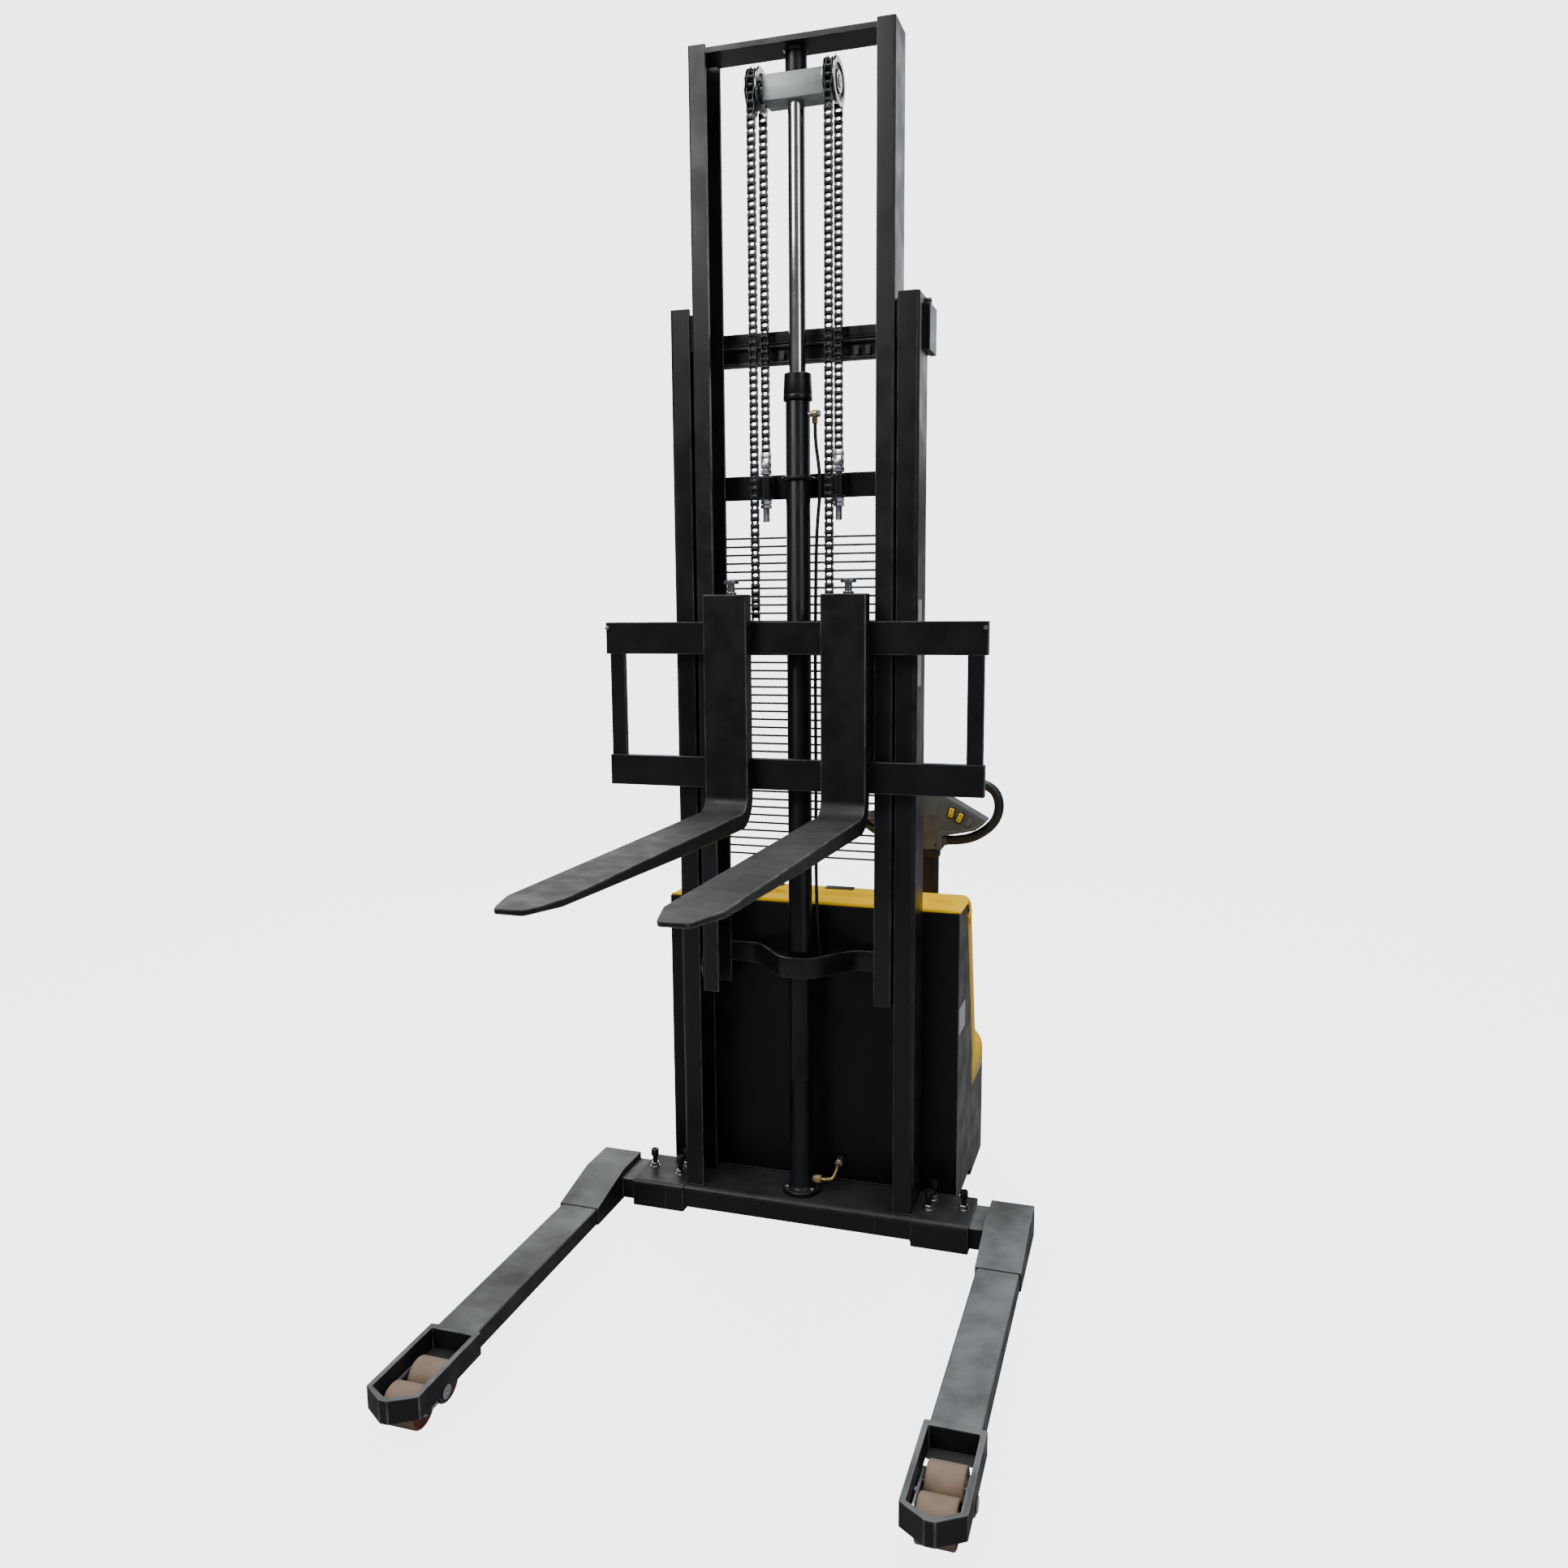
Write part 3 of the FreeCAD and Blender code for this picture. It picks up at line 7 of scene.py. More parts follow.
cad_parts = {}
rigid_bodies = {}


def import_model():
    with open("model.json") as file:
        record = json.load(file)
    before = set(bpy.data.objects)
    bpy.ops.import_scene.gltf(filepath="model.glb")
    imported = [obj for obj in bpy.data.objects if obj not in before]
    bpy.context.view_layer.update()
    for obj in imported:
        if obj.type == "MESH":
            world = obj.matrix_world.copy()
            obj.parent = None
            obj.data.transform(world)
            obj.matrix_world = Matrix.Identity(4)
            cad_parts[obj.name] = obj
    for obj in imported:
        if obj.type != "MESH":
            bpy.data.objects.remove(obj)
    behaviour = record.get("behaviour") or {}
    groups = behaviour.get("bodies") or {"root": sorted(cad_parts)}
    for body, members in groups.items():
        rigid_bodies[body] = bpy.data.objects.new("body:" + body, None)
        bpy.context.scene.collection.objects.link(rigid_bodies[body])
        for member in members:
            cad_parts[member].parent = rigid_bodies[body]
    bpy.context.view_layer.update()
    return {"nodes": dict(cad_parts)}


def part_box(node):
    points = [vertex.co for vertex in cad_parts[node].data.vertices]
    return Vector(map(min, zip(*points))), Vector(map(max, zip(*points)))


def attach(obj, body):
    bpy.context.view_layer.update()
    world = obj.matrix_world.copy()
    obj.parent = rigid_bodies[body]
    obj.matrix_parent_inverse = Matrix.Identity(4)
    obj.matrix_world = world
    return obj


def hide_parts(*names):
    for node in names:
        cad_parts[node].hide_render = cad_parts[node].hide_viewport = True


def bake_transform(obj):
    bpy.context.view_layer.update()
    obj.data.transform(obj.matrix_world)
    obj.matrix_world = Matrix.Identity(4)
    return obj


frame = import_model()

# Walkie stacker: looks only, every size below is in metres and every place comes from the CAD frame.
scene = bpy.context.scene
sides = {"left": -1, "right": 1}

# camera, lights, floor
viewSet = {"place": (0.8045, -2.4026, 1.4813), "tilt": 81.9, "turn": 17.7, "roll": -0.4, "lens": 28.16}
camera = bpy.data.objects.new("camera", bpy.data.cameras.new("camera"))
camera.data.lens = viewSet["lens"]
camera.data.sensor_width = 36
camera.matrix_world = (
    Matrix.Translation(viewSet["place"])
    @ Euler((math.radians(viewSet["tilt"]), 0, math.radians(viewSet["turn"]))).to_matrix().to_4x4()
    @ Matrix.Rotation(math.radians(viewSet["roll"]), 4, "Z")
)
scene.collection.objects.link(camera)
scene.camera = camera

lampSet = {
    "keySoft": {"place": (-2.2, -3.4, 4.6), "aim": (0, 0.1, 1.0),
        "size": 2.4, "watts": 150, "tint": (1, 0.98, 0.96)},
    "fillSoft": {"place": (3.4, -2.6, 3.4), "aim": (0, 0, 0.8),
        "size": 2.2, "watts": 50, "tint": (0.93, 0.96, 1)},
    "topSoft": {"place": (0.3, 0.2, 5.2), "aim": (0, -0.1, 0),
        "size": 3.2, "watts": 235, "tint": (0.98, 0.99, 1)},
    "backSoft": {"place": (1.6, 4.4, 3.4), "aim": (0, 0.4, 1.2),
        "size": 2.2, "watts": 26, "tint": (0.95, 0.98, 1)},
    "lowSoft": {"place": (1.3, 4.6, 1.1), "aim": (0.3, 0.3, 1.1),
        "size": 1.5, "watts": 2.4, "tint": (0.93, 0.97, 1)},
    "rearSoft": {"place": (-2.4, 3.6, 3.0), "aim": (0, 0.5, 0.9),
        "size": 2.2, "watts": 60, "tint": (1, 1, 1)},
}
for lampName, lamp in lampSet.items():
    light = bpy.data.objects.new(lampName, bpy.data.lights.new(lampName, "AREA"))
    light.data.size = lamp["size"]
    light.data.energy = lamp["watts"]
    light.data.color = lamp["tint"]
    light.location = lamp["place"]
    light.rotation_mode = "QUATERNION"
    light.rotation_quaternion = (Vector(lamp["aim"]) - Vector(lamp["place"])).to_track_quat("-Z", "Y")
    scene.collection.objects.link(light)


def addNode(tree, kind, sockets=None, **settings):
    made = tree.nodes.new(kind)
    for key, value in settings.items():
        setattr(made, key, value)
    for key, value in (sockets or {}).items():
        if isinstance(value, bpy.types.NodeSocket):
            tree.links.new(value, made.inputs[key])
        else:
            made.inputs[key].default_value = value
    return made


def makeGroup(name, kind, inputs, outputs):
    group = bpy.data.node_groups.new(name, kind)
    for label, socketKind, value in inputs:
        socket = group.interface.new_socket(label, in_out="INPUT", socket_type="NodeSocket" + socketKind)
        if value is not None:
            socket.default_value = value
    for label, socketKind in outputs:
        group.interface.new_socket(label, in_out="OUTPUT", socket_type="NodeSocket" + socketKind)
    return group, group.nodes.new("NodeGroupInput").outputs, group.nodes.new("NodeGroupOutput").inputs


def blendColour(tree, share, first, second, mode="MIX"):
    mix = addNode(tree, "ShaderNodeMix", data_type="RGBA", blend_type=mode)
    for socket, value in zip((mix.inputs[0], mix.inputs[6], mix.inputs[7]), (share, first, second)):
        if isinstance(value, bpy.types.NodeSocket):
            tree.links.new(value, socket)
        else:
            socket.default_value = value
    return mix.outputs[2]


def maths(tree, operation, first, second=0.0, clamp=False):
    step = addNode(tree, "ShaderNodeMath", {0: first, 1: second}, operation=operation, use_clamp=clamp)
    return step.outputs[0]


def span(tree, value, low, high, toLow=0.0, toHigh=1.0):
    reach = addNode(tree, "ShaderNodeMapRange", {0: value, 1: low, 2: high, 3: toLow, 4: toHigh},
                    interpolation_type="SMOOTHSTEP")
    return reach.outputs[0]


# shared surface effects
# edge wear: marked bevel faces blend toward the bare colour, partly worn paint and partly a painted highlight for
# the light lines that edges catch
def makeWearAndEdgeHighlight():
    group, given, out = makeGroup(
        "edgeWear", "ShaderNodeTree",
        [("Place", "Vector", None), ("Edge", "Float", 0.0), ("Paint", "Color", (0, 0, 0, 1)),
         ("Bare", "Color", (0.2, 0.2, 0.2, 1)), ("Amount", "Float", 0.5), ("Patch", "Float", 30.0)],
        [("Colour", "Color"), ("Mask", "Float")],
    )
    patches = addNode(group, "ShaderNodeTexNoise",
                      {"Vector": given["Place"], "Scale": given["Patch"], "Detail": 4.0})
    share = maths(group, "MULTIPLY", span(group, patches.outputs["Fac"], 0.2, 0.72), given["Edge"])
    share = maths(group, "MULTIPLY", share, given["Amount"], clamp=True)
    group.links.new(blendColour(group, share, given["Paint"], given["Bare"]), out["Colour"])
    group.links.new(share, out["Mask"])
    return group


def makeDust():
    group, given, out = makeGroup(
        "settledDust", "ShaderNodeTree",
        [("Place", "Vector", None), ("Facing", "Vector", None), ("Under", "Color", (0, 0, 0, 1)),
         ("Dust", "Color", (0.2, 0.19, 0.17, 1)), ("Amount", "Float", 0.3), ("Cover", "Float", 0.1),
         ("Size", "Float", 6.0)],
        [("Colour", "Color"), ("Mask", "Float")],
    )
    upward = span(group, addNode(group, "ShaderNodeSeparateXYZ", {0: given["Facing"]}).outputs[2], 0.35, 0.95)
    clouds = addNode(group, "ShaderNodeTexNoise",
                     {"Vector": given["Place"], "Scale": given["Size"], "Detail": 8.0, "Roughness": 0.62})
    lying = maths(group, "MULTIPLY", upward, given["Amount"])
    film = maths(group, "ADD", lying, given["Cover"])
    share = maths(group, "MULTIPLY", film, span(group, clouds.outputs["Fac"], 0.25, 0.75, 0.25, 1.0), clamp=True)
    group.links.new(blendColour(group, share, given["Under"], given["Dust"]), out["Colour"])
    group.links.new(share, out["Mask"])
    return group


def makeGrain():
    group, given, out = makeGroup(
        "fineGrain", "ShaderNodeTree",
        [("Place", "Vector", None), ("Size", "Float", 500.0), ("Ripple", "Float", 60.0), ("Share", "Float", 0.4)],
        [("Height", "Float"), ("Cloud", "Float")],
    )
    fine = addNode(group, "ShaderNodeTexNoise",
                   {"Vector": given["Place"], "Scale": given["Size"], "Detail": 2.0})
    broad = addNode(group, "ShaderNodeTexNoise",
                    {"Vector": given["Place"], "Scale": given["Ripple"], "Detail": 3.0})
    kept = maths(group, "MULTIPLY", broad.outputs["Fac"], given["Share"])
    group.links.new(maths(group, "ADD", fine.outputs["Fac"], kept), out["Height"])
    group.links.new(broad.outputs["Fac"], out["Cloud"])
    return group


def makeScuffs():
    group, given, out = makeGroup(
        "scuffLines", "ShaderNodeTree",
        [("Place", "Vector", None), ("Stretch", "Vector", (1.0, 1.0, 0.06)), ("Size", "Float", 60.0),
         ("Thin", "Float", 0.66)],
        [("Mask", "Float")],
    )
    drawn = addNode(group, "ShaderNodeVectorMath", {0: given["Place"], 1: given["Stretch"]}, operation="MULTIPLY")
    lines = addNode(group, "ShaderNodeTexNoise",
                    {"Vector": drawn.outputs[0], "Scale": given["Size"], "Detail": 3.0, "Distortion": 0.2})
    where = addNode(group, "ShaderNodeTexNoise", {"Vector": given["Place"], "Scale": 5.0, "Detail": 2.0})
    sharp = span(group, maths(group, "SUBTRACT", lines.outputs["Fac"], given["Thin"]), 0.0, 0.06)
    group.links.new(maths(group, "MULTIPLY", sharp, span(group, where.outputs["Fac"], 0.45, 0.62)), out["Mask"])
    return group


wearAndEdgeHighlightGroup, dustGroup, grainGroup, scuffGroup = makeWearAndEdgeHighlight(), makeDust(), makeGrain(), makeScuffs()

# one row per finish, with only what differs from the plain one:
# colours are linear, grain size is in steps per metre, relief in metres
# bare: the colour of rubbed marks and of the painted edge highlight on bevel faces
plainFinish = {"rough": 0.4, "bareAndHighlight": (0.12, 0.12, 0.12), "wearAndEdgeHighlight": 0.3, "dust": 0.1, "cover": 0.05,
               "scuff": 0.05, "metal": 0.0, "gloss": 0.5, "coat": 0.0, "cloud": 0.18, "grain": 600.0,
               "ripple": 14.0, "relief": 0.00008, "bump": 0.25, "stretch": (1.0, 1.0, 0.06),
               "dustColour": (0.075, 0.074, 0.07)}
finishSet = {
    "mastPaint": {"base": (0.005, 0.0058, 0.0072), "rough": 0.34, "bareAndHighlight": (0.13, 0.14, 0.15), "wearAndEdgeHighlight": 0.7,
        "dust": 0.16, "cover": 0.012, "scuff": 0.06, "gloss": 0.32},
    "innerPaint": {"base": (0.007, 0.008, 0.01), "rough": 0.36, "bareAndHighlight": (0.15, 0.16, 0.17), "wearAndEdgeHighlight": 0.9,
        "dust": 0.14, "cover": 0.016, "scuff": 0.08, "gloss": 0.36},
    "framePaint": {"base": (0.0045, 0.005, 0.006), "rough": 0.36, "bareAndHighlight": (0.12, 0.125, 0.13), "wearAndEdgeHighlight": 0.8,
        "dust": 0.42, "cover": 0.012, "scuff": 0.1, "gloss": 0.32},
    "forkPaint": {"base": (0.0052, 0.006, 0.0068), "rough": 0.44, "bareAndHighlight": (0.12, 0.125, 0.125), "wearAndEdgeHighlight": 0.8,
        "dust": 0.5, "cover": 0.012, "scuff": 0.2, "gloss": 0.3, "ripple": 22.0},
    "legPaint": {"base": (0.0052, 0.0056, 0.0062), "rough": 0.5, "bareAndHighlight": (0.14, 0.145, 0.145), "wearAndEdgeHighlight": 0.9,
        "dust": 0.85, "cover": 0.02, "scuff": 0.3, "gloss": 0.28, "dustColour": (0.235, 0.245, 0.25),
        "ripple": 18.0, "cloud": 0.25},
    "boxPaint": {"base": (0.0032, 0.0037, 0.0048), "bareAndHighlight": (0.1, 0.104, 0.115), "wearAndEdgeHighlight": 0.7, "dust": 0.2,
        "cover": 0.008, "scuff": 0.06, "gloss": 0.26},
    "wirePaint": {"base": (0.055, 0.057, 0.062), "rough": 0.42, "bareAndHighlight": (0.2, 0.2, 0.2), "wearAndEdgeHighlight": 0.4},
    "coverYellow": {"base": (1.0, 0.6, 0.001), "rough": 0.24, "bareAndHighlight": (0.95, 0.66, 0.06), "dust": 0.02,
        "cover": 0.003, "scuff": 0.0, "gloss": 0.03, "cloud": 0.03, "dustColour": (0.4, 0.3, 0.1),
        "relief": 0.00003},
    "rodChrome": {"base": (0.62, 0.61, 0.6), "rough": 0.09, "metal": 1.0, "bareAndHighlight": (0.8, 0.8, 0.8),
        "wearAndEdgeHighlight": 0.0, "dust": 0.0, "cover": 0.02, "grain": 1400.0, "relief": 0.00001},
    "zincPlate": {"base": (0.42, 0.43, 0.45), "rough": 0.3, "metal": 1.0, "bareAndHighlight": (0.7, 0.7, 0.7),
        "cover": 0.06, "scuff": 0.08},
    "milledSteel": {"base": (0.27, 0.3, 0.3), "rough": 0.42, "metal": 0.55, "bareAndHighlight": (0.55, 0.58, 0.58),
        "wearAndEdgeHighlight": 0.6, "cover": 0.08, "scuff": 0.12, "ripple": 30.0},
    "rollerSteel": {"base": (0.5, 0.5, 0.5), "rough": 0.24, "metal": 1.0, "bareAndHighlight": (0.75, 0.75, 0.75),
        "dust": 0.05, "scuff": 0.06},
    "chainSteel": {"base": (0.016, 0.016, 0.017), "rough": 0.3, "metal": 0.5, "bareAndHighlight": (0.2, 0.2, 0.2),
        "dust": 0.0, "cover": 0.03, "scuff": 0.0},
    "brassFitting": {"base": (0.55, 0.4, 0.16), "rough": 0.28, "metal": 1.0, "bareAndHighlight": (0.75, 0.6, 0.3),
        "dust": 0.05, "cover": 0.1},
    "blackOxide": {"base": (0.011, 0.011, 0.012), "rough": 0.34, "metal": 0.3, "wearAndEdgeHighlight": 0.4, "cover": 0.02,
        "scuff": 0.03},
    "hoseRubber": {"base": (0.01, 0.01, 0.0105), "rough": 0.5, "bareAndHighlight": (0.03, 0.03, 0.03), "wearAndEdgeHighlight": 0.0,
        "scuff": 0.0},
    "rollerTread": {"base": (0.2, 0.132, 0.086), "rough": 0.6, "bareAndHighlight": (0.3, 0.24, 0.19), "wearAndEdgeHighlight": 0.5,
        "dust": 0.35, "cover": 0.25, "scuff": 0.35, "gloss": 0.3, "dustColour": (0.3, 0.25, 0.195),
        "ripple": 38.0, "stretch": (0.1, 1.0, 1.0)},
    "rollerHub": {"base": (0.15, 0.026, 0.014), "rough": 0.5, "bareAndHighlight": (0.25, 0.1, 0.07), "wearAndEdgeHighlight": 0.4,
        "cover": 0.12, "scuff": 0.1},
    "tyreRubber": {"base": (0.014, 0.013, 0.0125), "rough": 0.62, "bareAndHighlight": (0.05, 0.045, 0.04), "wearAndEdgeHighlight": 0.4,
        "dust": 0.2, "cover": 0.2, "scuff": 0.2, "gloss": 0.3},
    "castIron": {"base": (0.022, 0.023, 0.025), "rough": 0.55, "bareAndHighlight": (0.1, 0.1, 0.1), "wearAndEdgeHighlight": 0.5,
        "dust": 0.2, "cover": 0.1, "scuff": 0.1, "grain": 260.0, "relief": 0.0003},
    "headPlastic": {"base": (0.098, 0.104, 0.108), "rough": 0.48, "bareAndHighlight": (0.17, 0.16, 0.15), "dust": 0.08,
        "cover": 0.03, "scuff": 0.04, "grain": 1500.0, "relief": 0.0001, "gloss": 0.4},
    "gripRubber": {"base": (0.012, 0.012, 0.012), "rough": 0.45, "bareAndHighlight": (0.05, 0.05, 0.05), "dust": 0.05,
        "cover": 0.03, "grain": 1300.0, "relief": 0.0002},
    "buttonYellow": {"base": (0.9, 0.56, 0.02), "rough": 0.35, "bareAndHighlight": (0.9, 0.7, 0.2), "wearAndEdgeHighlight": 0.2,
        "dust": 0.0, "cover": 0.03, "scuff": 0.02},
    "controlBlack": {"base": (0.009, 0.009, 0.009), "rough": 0.42, "bareAndHighlight": (0.05, 0.05, 0.05), "wearAndEdgeHighlight": 0.2,
        "dust": 0.05, "cover": 0.02, "scuff": 0.03},
    "stopRed": {"base": (0.55, 0.012, 0.008), "rough": 0.3, "bareAndHighlight": (0.7, 0.1, 0.08), "wearAndEdgeHighlight": 0.2,
        "dust": 0.05, "cover": 0.02, "scuff": 0.02},
    "batteryCase": {"base": (0.02, 0.021, 0.024), "rough": 0.5, "bareAndHighlight": (0.06, 0.06, 0.06), "dust": 0.2},
    "armPaint": {"base": (0.012, 0.0105, 0.0095), "rough": 0.42, "bareAndHighlight": (0.06, 0.055, 0.05), "wearAndEdgeHighlight": 0.6,
        "cover": 0.04, "scuff": 0.1, "gloss": 0.35},
    "gaugeGlass": {"base": (0.012, 0.02, 0.018), "rough": 0.08, "bareAndHighlight": (0.05, 0.06, 0.06), "wearAndEdgeHighlight": 0.0,
        "dust": 0.04, "cover": 0.02, "scuff": 0.02, "coat": 0.6},
    "labelFoil": {"base": (0.5, 0.51, 0.52), "metal": 0.15, "bareAndHighlight": (0.6, 0.6, 0.6), "wearAndEdgeHighlight": 0.2,
        "dust": 0.05, "cover": 0.1, "scuff": 0.1},
}


def makeFinish(name, changes):
    row = {**plainFinish, **changes}
    material = bpy.data.materials.new(name)
    material.use_nodes = True
    tree = material.node_tree
    shader = tree.nodes["Principled BSDF"]
    place = tree.nodes.new("ShaderNodeTexCoord")
    # the bevel faces' edge mark drives wear and the painted edge highlight
    edge = addNode(tree, "ShaderNodeAttribute", attribute_name="edge")
    bareAndHighlight = (*row["bareAndHighlight"], 1)

    def effect(group, sockets):
        sockets["Place"] = place.outputs["Object"]
        return addNode(tree, "ShaderNodeGroup", sockets, node_tree=group).outputs

    grain = effect(grainGroup, {"Size": row["grain"], "Ripple": row["ripple"]})
    shade = span(tree, grain["Cloud"], 0.3, 0.7, 1 - row["cloud"], 1 + row["cloud"])
    toned = addNode(tree, "ShaderNodeVectorMath", {0: row["base"], "Scale": shade}, operation="SCALE")
    wearAndEdgeHighlight = effect(wearAndEdgeHighlightGroup, {"Edge": edge.outputs["Fac"], "Paint": toned.outputs[0], "Bare": bareAndHighlight,
                              "Amount": row["wearAndEdgeHighlight"]})
    scuff = effect(scuffGroup, {"Stretch": row["stretch"]})
    marked = blendColour(tree, maths(tree, "MULTIPLY", scuff["Mask"], row["scuff"]), wearAndEdgeHighlight["Colour"], bareAndHighlight)
    dust = effect(dustGroup, {"Facing": place.outputs["Normal"], "Under": marked, "Dust": (*row["dustColour"], 1),
                              "Amount": row["dust"], "Cover": row["cover"]})
    rough = maths(tree, "ADD", maths(tree, "MULTIPLY", shade, row["rough"]),
                  maths(tree, "MULTIPLY", dust["Mask"], 0.5), clamp=True)
    bump = addNode(tree, "ShaderNodeBump", {"Height": grain["Height"], "Strength": row["bump"],
                                            "Distance": row["relief"]})
    for label, value in (("Base Color", dust["Colour"]), ("Roughness", rough), ("Normal", bump.outputs["Normal"])):
        tree.links.new(value, shader.inputs[label])
    for label, value in (("Metallic", row["metal"]), ("Specular IOR Level", row["gloss"]),
                         ("Coat Weight", row["coat"]), ("Coat Roughness", 0.08)):
        shader.inputs[label].default_value = value
    return material


finishes = {name: makeFinish(name, row) for name, row in finishSet.items()}
print("finishes ready:", len(finishes))


# mesh tools
def addObject(name, mesh, finish, body, stands=()):
    piece = bpy.data.objects.new(name, mesh)
    scene.collection.objects.link(piece)
    if finish:
        mesh.materials.clear()
        mesh.materials.append(finishes[finish])
    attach(piece, body)
    if stands:
        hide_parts(*stands)
    return piece


def closeMesh(shape, name, smoothAngle=40):
    bmesh.ops.recalc_face_normals(shape, faces=shape.faces)
    return storeMesh(shape, name, smoothAngle)


def storeMesh(shape, name, smoothAngle=40):
    mesh = bpy.data.meshes.new(name)
    for face in shape.faces:
        face.smooth = True
    limit = math.radians(smoothAngle)
    for edge in shape.edges:
        if len(edge.link_faces) == 2:
            edge.smooth = edge.calc_face_angle(0) < limit
    shape.to_mesh(mesh)
    shape.free()
    return mesh


# edge marks: small bevels take the full wear and painted highlight, wide bends a little
edgeSet = {"wideBend": 0.0035, "wornAndHighlit": 1.0, "kept": 0.15, "merge": 0.00002, "flat": 0.6}


def turnsSharply(edge, degrees):
    return len(edge.link_faces) == 2 and edge.calc_face_angle(0) > math.radians(degrees)


def bevelEdges(shape, edges, width, segments):
    mark = shape.faces.layers.float.get("edge") or shape.faces.layers.float.new("edge")
    made = bmesh.ops.bevel(shape, geom=edges, offset=width, offset_type="OFFSET", segments=segments,
                           profile=0.5, affect="EDGES", clamp_overlap=False, miter_outer="ARC")
    for face in made["faces"]:
        # small bevels are marked fully for wear and painted edge highlight; wide bends keep their paint
        face[mark] = edgeSet["wornAndHighlit"] if width < edgeSet["wideBend"] else edgeSet["kept"]


def copyNode(node):
    shape = bmesh.new()
    shape.from_mesh(frame["nodes"][node].data)
    for layer in list(shape.loops.layers.uv):
        shape.loops.layers.uv.remove(layer)
    bmesh.ops.remove_doubles(shape, verts=shape.verts, dist=edgeSet["merge"])
    bmesh.ops.dissolve_limit(shape, angle_limit=math.radians(edgeSet["flat"]), verts=shape.verts,
                             edges=shape.edges)
    return shape


def bodyOf(node):
    return frame["nodes"][node].parent.name.removeprefix("body:")


def soften(node, finish, width, segments=2, rounds=(), least=32):
    # a finer copy of a CAD solid: chosen edges get a real radius, the others a small one
    shape = copyNode(node)
    for test, radius, steps in rounds:
        chosen = [e for e in shape.edges if turnsSharply(e, least)
                  and test((e.verts[0].co + e.verts[1].co) / 2, e.verts[1].co - e.verts[0].co)]
        bevelEdges(shape, chosen, radius, steps)
    mark = shape.faces.layers.float.get("edge") or shape.faces.layers.float.new("edge")
    chosen = [e for e in shape.edges
              if turnsSharply(e, least) and not any(f[mark] > 0.1 for f in e.link_faces)]
    bevelEdges(shape, chosen, width, segments)
    piece = addObject(node + "_fine", storeMesh(shape, node + "_fine"), finish, bodyOf(node), (node,))
    weighted = piece.modifiers.new("weightedNormals", "WEIGHTED_NORMAL")
    weighted.keep_sharp = True


def joinRings(shape, near, far, number=0, closed=True):
    # a band of faces between two rows of corners
    count = len(near)
    for i in range(count if closed else count - 1):
        following = (i + 1) % count
        shape.faces.new((near[i], near[following], far[following], far[i])).material_index = number


def mirrored(mesh, side, place):
    # carries a mesh to its place, and mirrors it across X for the left side
    mesh.transform(Matrix.Translation(place) @ Matrix.Scale(side, 4, (1, 0, 0)))
    if side < 0:
        mesh.flip_normals()
    return mesh


def turned(name, profile, centre, axis="x", steps=48, flat=False):
    # profile rows: distance along the axis, radius, and the finish number of the band up to the next row
    shape = bmesh.new()
    rings = []
    angles = [2 * math.pi * (i + 0.5) / steps for i in range(steps)]
    for along, radius, number in profile:
        ring = []
        for a, b in ((radius * math.cos(angle), radius * math.sin(angle)) for angle in angles):
            spot = {"x": (along, a, b), "y": (b, along, a), "z": (a, b, along)}[axis]
            ring.append(shape.verts.new(Vector(spot) + Vector(centre)))
        rings.append(ring)
    for near, far, row in zip(rings, rings[1:], profile):
        joinRings(shape, near, far, row[2])
    for ring, row in ((rings[0], profile[0]), (rings[-1], profile[-1])):
        if row[1] > 0:
            shape.faces.new(ring).material_index = row[2]
    bmesh.ops.remove_doubles(shape, verts=shape.verts, dist=0.000001)
    return closeMesh(shape, name, 1 if flat else 32)


def mergePieces(name, parts):
    # several meshes with their own finish become one piece
    shape = bmesh.new()
    used = []
    for mesh, finishNames in parts:
        finishNames = [finishNames] if isinstance(finishNames, str) else finishNames
        start = len(shape.faces)
        shape.from_mesh(mesh)
        shape.faces.ensure_lookup_table()
        numbers = []
        for finishName in finishNames:
            if finishName not in used:
                used.append(finishName)
            numbers.append(used.index(finishName))
        for face in shape.faces[start:]:
            face.material_index = numbers[min(face.material_index, len(numbers) - 1)]
    mesh = bpy.data.meshes.new(name)
    shape.to_mesh(mesh)
    shape.free()
    for finishName in used:
        mesh.materials.append(finishes[finishName])
    return mesh


def addPiece(name, parts, body):
    return addObject(name, mergePieces(name, parts), None, body)


def addFine(node, parts):
    # the finished shape that is seen instead of one CAD node
    name = node + "_fine"
    return addObject(name, mergePieces(name, parts), None, bodyOf(node), (node,))


def blockMesh(name, low, high, width, segments=2):
    # a block with softened edges
    shape = bmesh.new()
    bmesh.ops.create_cube(shape, size=1)
    low, high = Vector(low), Vector(high)
    for vert in shape.verts:
        share = vert.co + Vector((0.5, 0.5, 0.5))
        vert.co = Vector(low[i] + (high[i] - low[i]) * share[i] for i in range(3))
    bevelEdges(shape, list(shape.edges), width, segments)
    return closeMesh(shape, name, 32)


def prismMesh(name, outline, low, high, axis="z", width=0.001, segments=2):
    # an outline in the plane across the axis, pushed along it
    shape = bmesh.new()
    place = {"x": lambda a, b, t: (t, a, b), "y": lambda a, b, t: (a, t, b),
             "z": lambda a, b, t: (a, b, t)}[axis]
    rings = [[shape.verts.new(place(a, b, t)) for a, b in outline] for t in (low, high)]
    shape.faces.new(rings[0])
    shape.faces.new(list(reversed(rings[1])))
    joinRings(shape, rings[1], rings[0])
    bmesh.ops.recalc_face_normals(shape, faces=shape.faces)
    if width:
        bevelEdges(shape, [e for e in shape.edges if turnsSharply(e, 25)], width, segments)
    return closeMesh(shape, name, 32)


